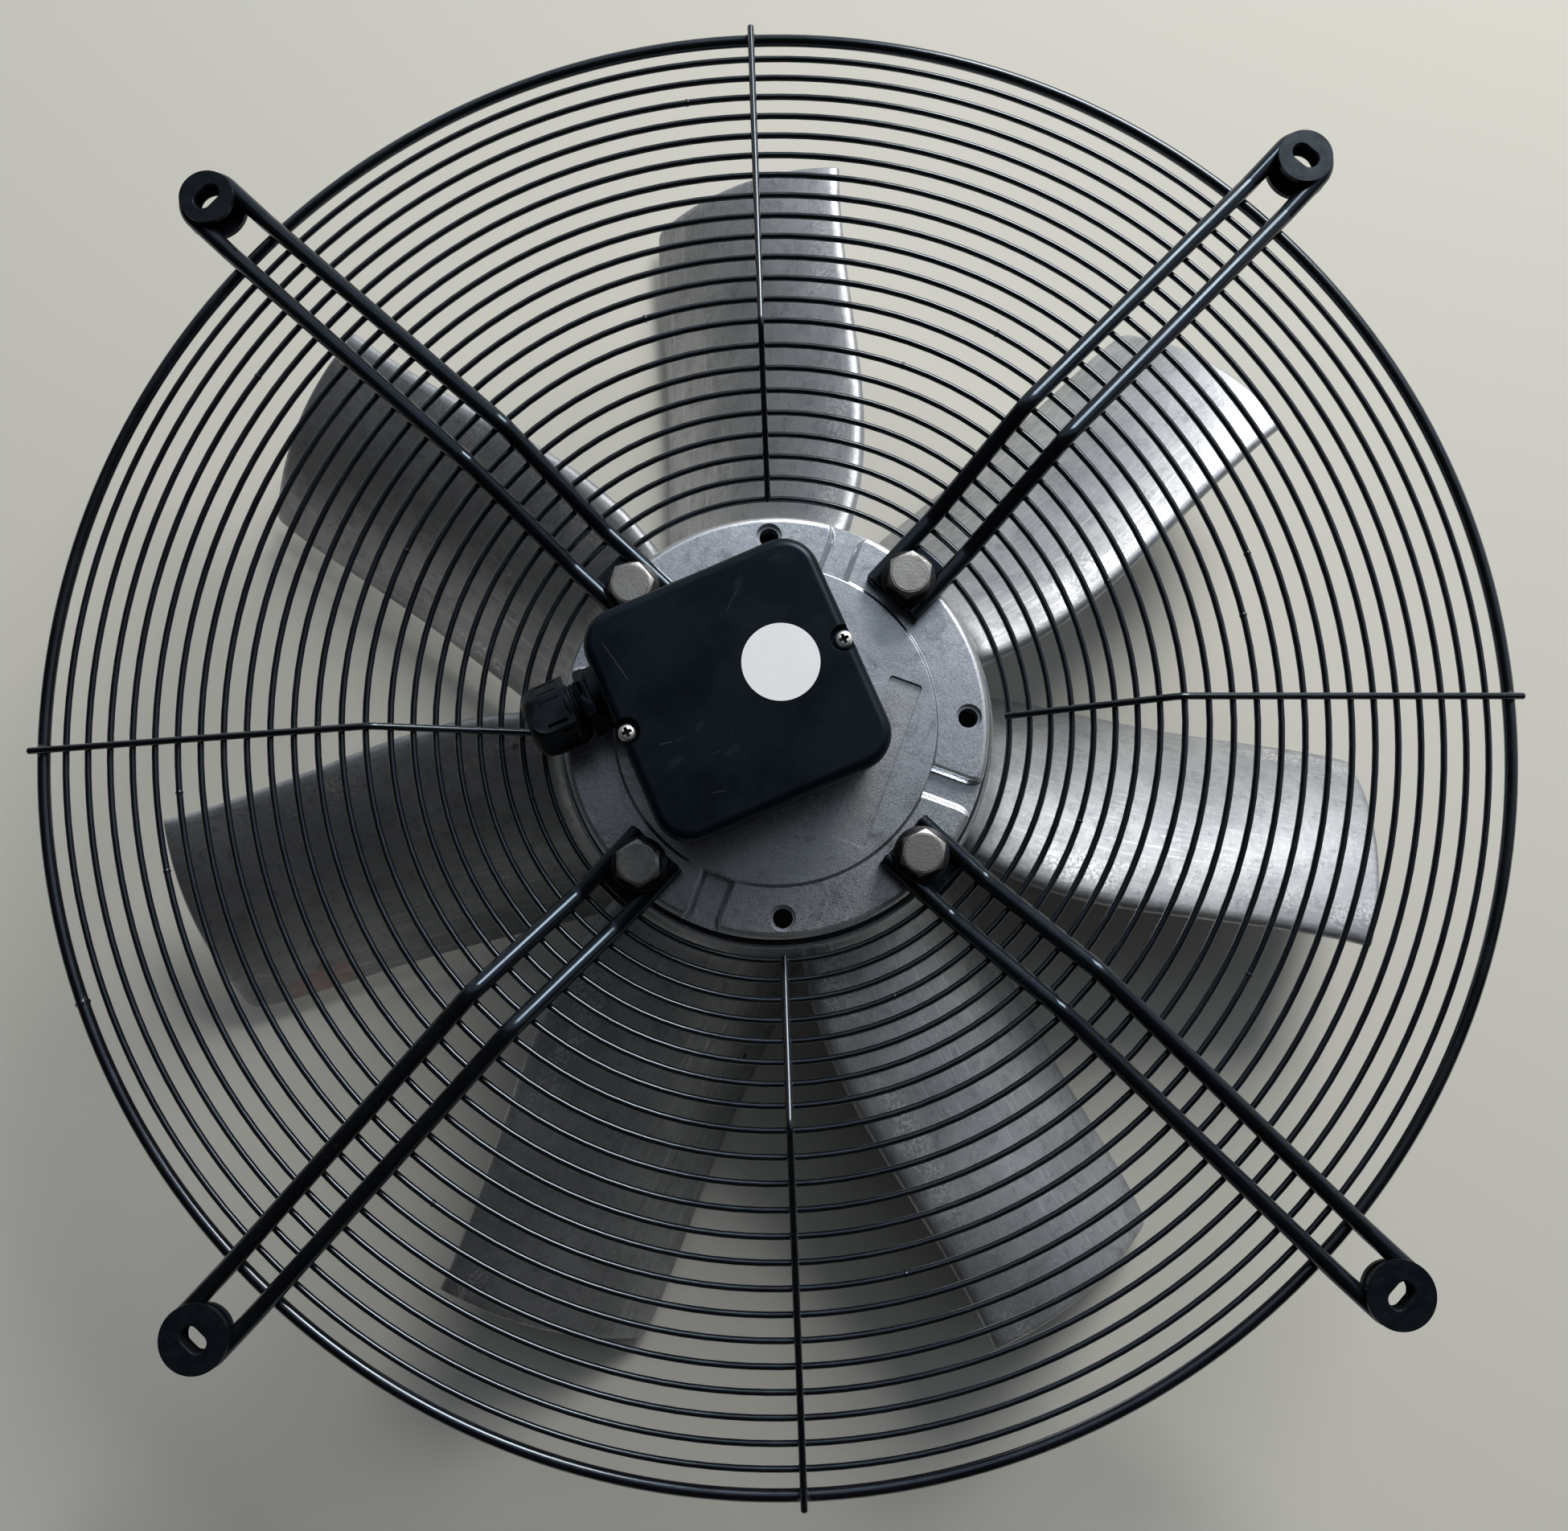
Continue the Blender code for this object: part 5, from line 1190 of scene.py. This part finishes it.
BOX_TURN = radians(21.5)
BOX_LEFT = -0.0575
BOX_RIGHT = 0.0372
BOX_NEAR = -0.0350
BOX_FAR = 0.0590
BOX_CORNER_R = 0.0140
BOX_DRAFT = 0.0028
BOX_WALL = 0.0030
BASE_LOW = 0.1286
BASE_TOP = 0.1650
BASE_SET_BACK = 0.0004
SCREW_SPOTS = ((0.0340, 0.0130), (-0.0543, 0.0130))
SCREW_HOLE_R = 0.0021
SCREW_HOLE_DEPTH = 0.0160
PILLAR_R = 0.0068
WIRE_HOLE_R = 0.0060
WIRE_HOLE_SPOT = (-0.0300, 0.0380)
GLAND_V = 0.0335
GLAND_Z = 0.1500
GLAND_BOSS_R = 0.0130
GLAND_HOLE_R = 0.0102

box_black = coated_finish(
    "black_box_plastic", (0.0022, 0.0031, 0.0052), dusty=(0.020, 0.023, 0.028),
    roughness=0.40, spread=0.04, grain=0.0005, patch=0.030, depth=0.00002, gloss=0.30)


def box_block(name, low, high, inset=0.0):
    """A block on the box's plan with its corners rounded."""
    size = (BOX_RIGHT - BOX_LEFT - 2 * inset, BOX_FAR - BOX_NEAR - 2 * inset, high - low)
    middle = ((BOX_LEFT + BOX_RIGHT) / 2, (BOX_NEAR + BOX_FAR) / 2, (low + high) / 2)
    block = milled(name, size, middle)
    round_upright_edges(block, BOX_CORNER_R - inset, 10)
    return block


def draw_in(piece, height, by):
    """Scales the edge at one height inwards by an equal margin all round."""
    edit_where(piece, 'EDGE', lambda ends: all(abs(end.z - height) < 0.00001 for end in ends))
    half_u, half_v = (BOX_RIGHT - BOX_LEFT) / 2, (BOX_FAR - BOX_NEAR) / 2
    bpy.ops.transform.resize(value=(1 - by / half_u, 1 - by / half_v, 1), center_override=(
        (BOX_LEFT + BOX_RIGHT) / 2, (BOX_NEAR + BOX_FAR) / 2, height))
    leave_edit()


def at_screws(name, radius, low, high, sides=40):
    """The same round cutter at both lid screws."""
    return [drilled(name, radius, low, high, spot, sides) for spot in SCREW_SPOTS]


def hollow_block(low, high):
    """A cutter for the room inside the walls, which leaves the pillars of the screws."""
    hollow = box_block("hollow", low, high, BOX_WALL + BOX_DRAFT)
    return cut(hollow, at_screws("pillar", PILLAR_R, low - OVERRUN, high + OVERRUN))


def along_gland(piece):
    """Lays an upright turned piece on the gland's axis, its foot on the box's left side."""
    piece.matrix_world = (Matrix.Translation((BOX_LEFT, GLAND_V, GLAND_Z))
                          @ Matrix.Rotation(-pi / 2, 4, 'Y') @ piece.matrix_world)
    return apply_place(piece)


base = box_block("box_base", BASE_LOW, BASE_TOP, BASE_SET_BACK)
draw_in(base, BASE_LOW, BOX_DRAFT - BASE_SET_BACK)
cut(base, [along_gland(drilled("gland_boss", GLAND_BOSS_R, -0.0060, 0.0040, sides=56))], 'UNION')
cut(base, [hollow_block(BASE_LOW + BOX_WALL, BASE_TOP + OVERRUN),
           along_gland(drilled("gland_bore", GLAND_HOLE_R, -0.0140, 0.0060, sides=48)),
           drilled("wire_hole", WIRE_HOLE_R, BASE_LOW - OVERRUN, BASE_LOW + BOX_WALL + OVERRUN,
                   WIRE_HOLE_SPOT)])
cut(base, at_screws("screw_hole", SCREW_HOLE_R, BASE_TOP - SCREW_HOLE_DEPTH,
                    BASE_TOP + OVERRUN, 24))
soften(base, 0.0005)
settle(base, turn=BOX_TURN)
dress(base, "fixed_frame", "box_plastic", box_black, "terminal_box_base")


# Lid gasket
# A flat rubber ring between tray and lid, set back a little so that the joint shows as a
# dark line. The lid screws pass through it.

GASKET_LOW = 0.1653
GASKET_TOP = 0.1668
GASKET_SET_BACK = 0.0010

rubber_black = coated_finish(
    "black_seal_rubber", (0.018, 0.018, 0.018), dusty=(0.10, 0.10, 0.095), roughness=0.78,
    spread=0.08, grain=0.0006, patch=0.010, depth=0.00006)
gasket = box_block("box_gasket", GASKET_LOW, GASKET_TOP, GASKET_SET_BACK)
cut(gasket, [hollow_block(GASKET_LOW - OVERRUN, GASKET_TOP + OVERRUN)])
cut(gasket, at_screws("screw_hole", SCREW_HOLE_R, GASKET_LOW - OVERRUN, GASKET_TOP + OVERRUN,
                      24))
soften(gasket, 0.0003)
settle(gasket, turn=BOX_TURN)
dress(gasket, "fixed_frame", "seal_rubber", rubber_black, "lid_gasket")


# Box lid
# Shallow moulded cap with a broad rounded top edge. A round notch leaves room for the
# head of each screw. Its gloss is broken by scratches and by smudges of dirt.

LID_LOW = 0.1671
LID_TOP = 0.17475
LID_ROOF = 0.0035
LID_EDGE = 0.0040
NOTCH_R = 0.0053
NOTCH_DEPTH = 0.0045
# middle, half length and half width of each scratch, its turn, and how much it shows
SCRATCHES = ((-0.0587, 0.0187, 0.0096, 0.00026, -0.99, 0.55),
             (-0.0224, -0.0170, 0.0024, 0.00020, 0.35, 0.30),
             (-0.0407, -0.0127, 0.0026, 0.00030, 0.20, 0.45),
             (-0.0350, -0.0114, 0.0016, 0.00020, 0.60, 0.30),
             (-0.0215, -0.0315, 0.0030, 0.00022, 0.10, 0.35),
             (-0.0145, 0.0405, 0.0050, 0.00030, 1.10, 0.30))
# middle, half length and half width of each smudge, and its turn
SMUDGES = ((-0.0120, 0.0460, 0.0090, 0.0040, 1.2), (-0.0278, -0.0065, 0.0060, 0.0030, 0.8),
           (-0.0160, -0.0163, 0.0070, 0.0030, 0.5), (-0.0373, -0.0200, 0.0080, 0.0035, 0.6),
           (0.0020, 0.0560, 0.0050, 0.0025, 0.2))

lid_black = coated_finish(
    "black_lid_plastic", (0.0014, 0.0026, 0.0052), dusty=(0.020, 0.023, 0.028),
    roughness=0.36, spread=0.05, grain=0.0005, patch=0.030, depth=0.00002, gloss=0.27)
tree = lid_black.node_tree
lid_shader = tree.nodes["Principled BSDF"]
lid_place = own_place(tree)
lid_colour = lid_shader.inputs["Base Color"].links[0].from_socket
for x, y, half_l, half_w, turn, share in SCRATCHES:
    lid_colour = marked(tree, lid_place, lid_colour, (x, y, LID_TOP), (half_l, half_w, 0.002),
                        turn, (0.060, 0.070, 0.085), share, "Line")
for x, y, half_l, half_w, turn in SMUDGES:
    lid_colour = marked(tree, lid_place, lid_colour, (x, y, LID_TOP), (half_l, half_w, 0.004),
                        turn, (0.018, 0.022, 0.028), 0.35, ragged=0.8)
show(tree, lid_shader, lid_colour)

lid = box_block("box_lid", LID_LOW, LID_TOP)
edit_where(lid, 'EDGE', lambda ends: all(end.z > LID_TOP - 0.00001 for end in ends))
bpy.ops.mesh.bevel(offset=LID_EDGE, segments=7, affect='EDGES')
leave_edit()
cut(lid, [hollow_block(LID_LOW - OVERRUN, LID_TOP - LID_ROOF)])
cut(lid, at_screws("notch", NOTCH_R, LID_TOP - NOTCH_DEPTH, LID_TOP + OVERRUN, 48))
cut(lid, at_screws("screw_hole", SCREW_HOLE_R, LID_LOW - OVERRUN, LID_TOP, 24))
soften(lid, 0.0005)
settle(lid, turn=BOX_TURN)
dress(lid, "fixed_frame", "box_plastic", lid_black, "terminal_box_lid")


# Lid screws
# Small pan-head steel screws with a cross recess, bright plated. They are sunk in the
# notches of the lid and bite in the pillars of the tray.

SCREW_SEAT = 0.1708
SCREW_HEAD_H = 0.0026
SCREW_HEAD_R = 0.0034
SCREW_HEAD_EDGE = 0.0009
SCREW_R = 0.0018
SCREW_LENGTH = 0.0150
CROSS_L = 0.0040
CROSS_W = 0.0013
CROSS_TURN = 0.4

bright_nickel = new_finish("bright_nickel", (0.90, 0.89, 0.86), 0.46, 1.0)[0]
head_top = SCREW_SEAT + SCREW_HEAD_H
screw_section = [(0, SCREW_SEAT - SCREW_LENGTH), (0.0013, SCREW_SEAT - SCREW_LENGTH),
                 (SCREW_R, SCREW_SEAT - SCREW_LENGTH + 0.0010), (SCREW_R, SCREW_SEAT),
                 (SCREW_HEAD_R, SCREW_SEAT), (SCREW_HEAD_R, SCREW_SEAT + SCREW_HEAD_EDGE)]
screw_section += [(SCREW_HEAD_R * cos(radians(a)), SCREW_SEAT + SCREW_HEAD_EDGE
                   + (SCREW_HEAD_H - SCREW_HEAD_EDGE) * sin(radians(a)))
                  for a in range(15, 90, 15)]
screw_section.append((0, head_top))
screw = turn_on_lathe("screw_pattern", screw_section, 48)
cross = [milled("cross_arm", (CROSS_L, CROSS_W, CROSS_L), (0, 0, head_top), turn)
         for turn in (CROSS_TURN, CROSS_TURN + pi / 2)]
cut(screw, cross + [drilled("cross_middle", 0.0011, SCREW_SEAT + 0.0006, head_top + OVERRUN,
                            sides=24)])
coat(screw, bright_nickel, dark_steel_and_recess_shade)
soften(screw, 0.00012)
# The faces inside the cross recess take the dark washer steel, which is painted shade in the
# recess
for face in screw.data.polygons:
    height = face.center.z - SCREW_SEAT
    in_cross = face.center.xy.length < CROSS_L / 2 and height > 0.0004
    if in_cross and (face.normal.z < 0.6 or height < SCREW_HEAD_H - 0.0006):
        face.material_index = 1


def on_box(u, v):
    """A place given along the box's own turned sides."""
    return Matrix.Rotation(BOX_TURN, 3, 'Z') @ Vector((u, v, 0))


for name, spot in zip(("right", "left"), SCREW_SPOTS):
    twin = copy_of(screw, "cross_screw_" + name, on_box(*spot))
    dress(twin, "fixed_frame", "bright_fasteners", bright_nickel, "lid_screw_" + name)
bpy.data.objects.remove(screw)


# Blank sticker
# A round white vinyl label stuck on the lid by hand, so it sits off the middle. It is
# left unprinted, and it has a thin edge that catches the light.

STICKER_R = 0.01475
STICKER_T = 0.00025
STICKER_SPOT = (0.0087, 0.0140)

sticker_white = grained_finish("white_vinyl", (0.95, 0.96, 0.985), (0.88, 0.89, 0.92),
                               roughness=0.38, metallic=0.0, grain=0.0010, patch=0.008,
                               depth=0.00002, share=0.3)
sticker = turn_on_lathe("blank_sticker", [
    (0, LID_TOP), (STICKER_R, LID_TOP), (STICKER_R, LID_TOP + STICKER_T),
    (0, LID_TOP + STICKER_T)], 96)
soften(sticker, 0.00008)
settle(sticker, on_box(*STICKER_SPOT))
dress(sticker, "fixed_frame", "box_plastic", sticker_white)


# Terminal block
# Row of wire clamps inside the box, moulded in cream plastic. It keeps the shape of the
# model, since the closed lid hides it.

cream = grained_finish("cream_plastic", (0.72, 0.68, 0.55), (0.66, 0.61, 0.47),
                       roughness=0.45, metallic=0.0, grain=0.0006, patch=0.010,
                       depth=0.00004)
coat(cad["terminal_block"], cream)


# Cable gland
# Black plastic body screwed in the box, with a hexagon flange, a rubber seal in its bore
# and a domed hexagon nut over its thread. It holds no cable.

BOSS_END = 0.0043
GLAND_FLANGE_AF = 0.0240
GLAND_FLANGE_T = 0.0042
THREAD_R = 0.0099
THREAD_ROOT_R = THREAD_R - 0.0008
THREAD_PITCH = 0.0015
THREAD_END = 0.0220
GLAND_BORE_R = 0.0062
INSIDE_END = -BOX_WALL - BOX_DRAFT - 0.0045
SEAL_SEAT = THREAD_END - 0.0077
SEAL_SEAT_R = 0.0082

gland_black = coated_finish(
    "black_gland_plastic", (0.0045, 0.0050, 0.0070), dusty=(0.040, 0.043, 0.048),
    roughness=0.38, spread=0.06, grain=0.0005, patch=0.015, depth=0.00003, gloss=0.40)


def chamfered_bar(name, across_flats, low, high, chamfer):
    """Hexagon bar with its corners turned off at both ends."""
    corner = across_flats / 2 / cos(pi / 6)
    bar = hexagon_bar(name, across_flats, low, high)
    cone = turn_on_lathe("cone", [
        (0, low - 0.0001), (corner - chamfer, low - 0.0001), (corner + 0.0001, low + chamfer),
        (corner + 0.0001, high - chamfer), (corner - chamfer, high + 0.0001),
        (0, high + 0.0001)], 72)
    return cut(bar, [cone], 'INTERSECT')


flange_end = BOSS_END + GLAND_FLANGE_T
thread_section = [(GLAND_BORE_R, INSIDE_END), (THREAD_R, INSIDE_END), (THREAD_R, BOSS_END),
                  (THREAD_R - 0.0004, flange_end)]
crest = flange_end + 0.0002
while crest + THREAD_PITCH < THREAD_END:
    thread_section += [(THREAD_ROOT_R, crest), (THREAD_R, crest + 0.4 * THREAD_PITCH),
                       (THREAD_R, crest + 0.6 * THREAD_PITCH)]
    crest += THREAD_PITCH
thread_section += [(THREAD_ROOT_R, crest), (THREAD_ROOT_R, THREAD_END),
                   (SEAL_SEAT_R, THREAD_END), (SEAL_SEAT_R, SEAL_SEAT),
                   (GLAND_BORE_R, SEAL_SEAT)]
gland_body = turn_on_lathe("gland_screw_body", thread_section, 64)
collar = chamfered_bar("gland_flange", GLAND_FLANGE_AF, BOSS_END, flange_end, 0.0008)
cut(collar, [drilled("bore", 0.0080, BOSS_END - OVERRUN, flange_end + OVERRUN, sides=64)])
cut(gland_body, [collar], 'UNION')
soften(gland_body, 0.00018)
settle(along_gland(gland_body), turn=BOX_TURN)
dress(gland_body, "fixed_frame", "box_plastic", gland_black, "gland_body")

SEAL_R = 0.0079
SEAL_BORE_R = 0.0046
SEAL_LOW = 0.0146
SEAL_TOP = 0.0226
seal = turn_on_lathe("gland_rubber_seal", [
    (SEAL_BORE_R, SEAL_LOW), (SEAL_R, SEAL_LOW), (SEAL_R, SEAL_TOP),
    (SEAL_BORE_R + 0.0014, SEAL_TOP), (SEAL_BORE_R, SEAL_TOP - 0.0008)], 56)
soften(seal, 0.0003)
settle(along_gland(seal), turn=BOX_TURN)
dress(seal, "fixed_frame", "seal_rubber", rubber_black, "gland_seal")

NUT_AF = 0.0248
NUT_CORNER_R = NUT_AF / 2 / cos(pi / 6)
NUT_LOW = 0.0128
NUT_HEX_TOP = 0.0242
NUT_TOP = 0.0312
MOUTH_R = 0.0072
MOUTH_LIP_R = MOUTH_R + 0.0022
MOUTH_LOW = 0.0229
POCKET = (0.0022, 0.0052, 0.0080)
NUT_COLLAR_R = 0.0131
nut = chamfered_bar("gland_dome_nut", NUT_AF, NUT_LOW, NUT_TOP, 0.0006)
dome = [(0, NUT_LOW - 0.001), (NUT_CORNER_R + 0.0003, NUT_LOW - 0.001),
        (NUT_CORNER_R + 0.0003, NUT_HEX_TOP - 0.001)]
for i in range(9):
    turn = radians(90 * i / 8)
    dome.append((MOUTH_LIP_R + (NUT_CORNER_R - MOUTH_LIP_R) * cos(turn),
                 NUT_HEX_TOP - 0.0006 + (NUT_TOP - NUT_HEX_TOP + 0.0006) * sin(turn)))
dome.append((0, NUT_TOP))
cut(nut, [turn_on_lathe("dome", dome, 72)], 'INTERSECT')
cut(nut, [turn_on_lathe("nut_bore", [
    (0, NUT_LOW - 0.001), (THREAD_R + FIT, NUT_LOW - 0.001), (THREAD_R + FIT, MOUTH_LOW),
    (MOUTH_R, MOUTH_LOW), (MOUTH_R, NUT_TOP + 0.001), (0, NUT_TOP + 0.001)], 64)])
cut(nut, [milled("pocket", POCKET, (NUT_AF / 2, 0, NUT_LOW + 0.0070), radians(30 + 60 * i))
          for i in range(6)])
cut(nut, [turn_on_lathe("nut_collar", [
    (THREAD_R + FIT, NUT_LOW), (NUT_COLLAR_R, NUT_LOW), (NUT_COLLAR_R, NUT_LOW + 0.0012),
    (NUT_COLLAR_R - 0.0006, NUT_LOW + 0.0019), (THREAD_R + FIT, NUT_LOW + 0.0019)], 72)],
    'UNION')
soften(nut, 0.0003)
settle(along_gland(nut), turn=BOX_TURN)
dress(nut, "fixed_frame", "box_plastic", gland_black, "gland_nut")


# Studio
# A plain pale floor, lit by one window high on the upper right. The dim surround that the
# metal mirrors is bright towards the window, and is seen straight as a pale backdrop.

bpy.ops.mesh.primitive_plane_add(size=8, location=(0, 0, -0.0004))
floor = bpy.context.object
floor.name = "pale_floor"
coat(floor, new_finish("pale_floor_paint", (0.70, 0.685, 0.62), 0.8)[0])

window_place = Vector((1.10, 2.13, 1.84))
bpy.ops.object.light_add(type='AREA', location=window_place)
window = bpy.context.object
window.name = "window_light"
window.data.shape = 'SQUARE'
window.data.size = 1.3
window.data.energy = 88
window.data.color = (1.0, 0.985, 0.955)
window.rotation_euler = (Vector((0, 0, 0.1)) - window_place).to_track_quat('-Z', 'Y').to_euler()

studio = bpy.data.worlds.new("studio")
bpy.context.scene.world = studio
studio.use_nodes = True
tree = studio.node_tree
surround = tree.nodes["Background"]
toward_window = add_node(tree, 'VectorMath', {
    0: add_node(tree, 'TexCoord', {}).outputs["Generated"],
    1: Vector((0.38, 0.90, 0.20)).normalized()}, operation='DOT_PRODUCT').outputs["Value"]
mirrored = blend_colours(tree, remap(tree, toward_window, 0.26, 0.56),
                         (0.015, 0.015, 0.0155), (0.48, 0.535, 0.60))
seen_straight = add_node(tree, 'LightPath', {}).outputs["Is Camera Ray"]
tree.links.new(blend_colours(tree, seen_straight, mirrored, (0.60, 0.60, 0.59)),
               surround.inputs["Color"])
surround.inputs["Strength"].default_value = 1.0
bpy.context.scene.view_settings.view_transform = 'Standard'

bpy.ops.object.camera_add(location=(0.00299, -0.08654, 0.70756),
                          rotation=(radians(6.83), radians(0.28), radians(-2.09)))
camera = bpy.context.object
camera.name = "photo_camera"
camera.data.sensor_fit = 'HORIZONTAL'
camera.data.sensor_width = 36
camera.data.lens = 33.37
camera.data.dof.use_dof = False
bpy.context.scene.camera = camera
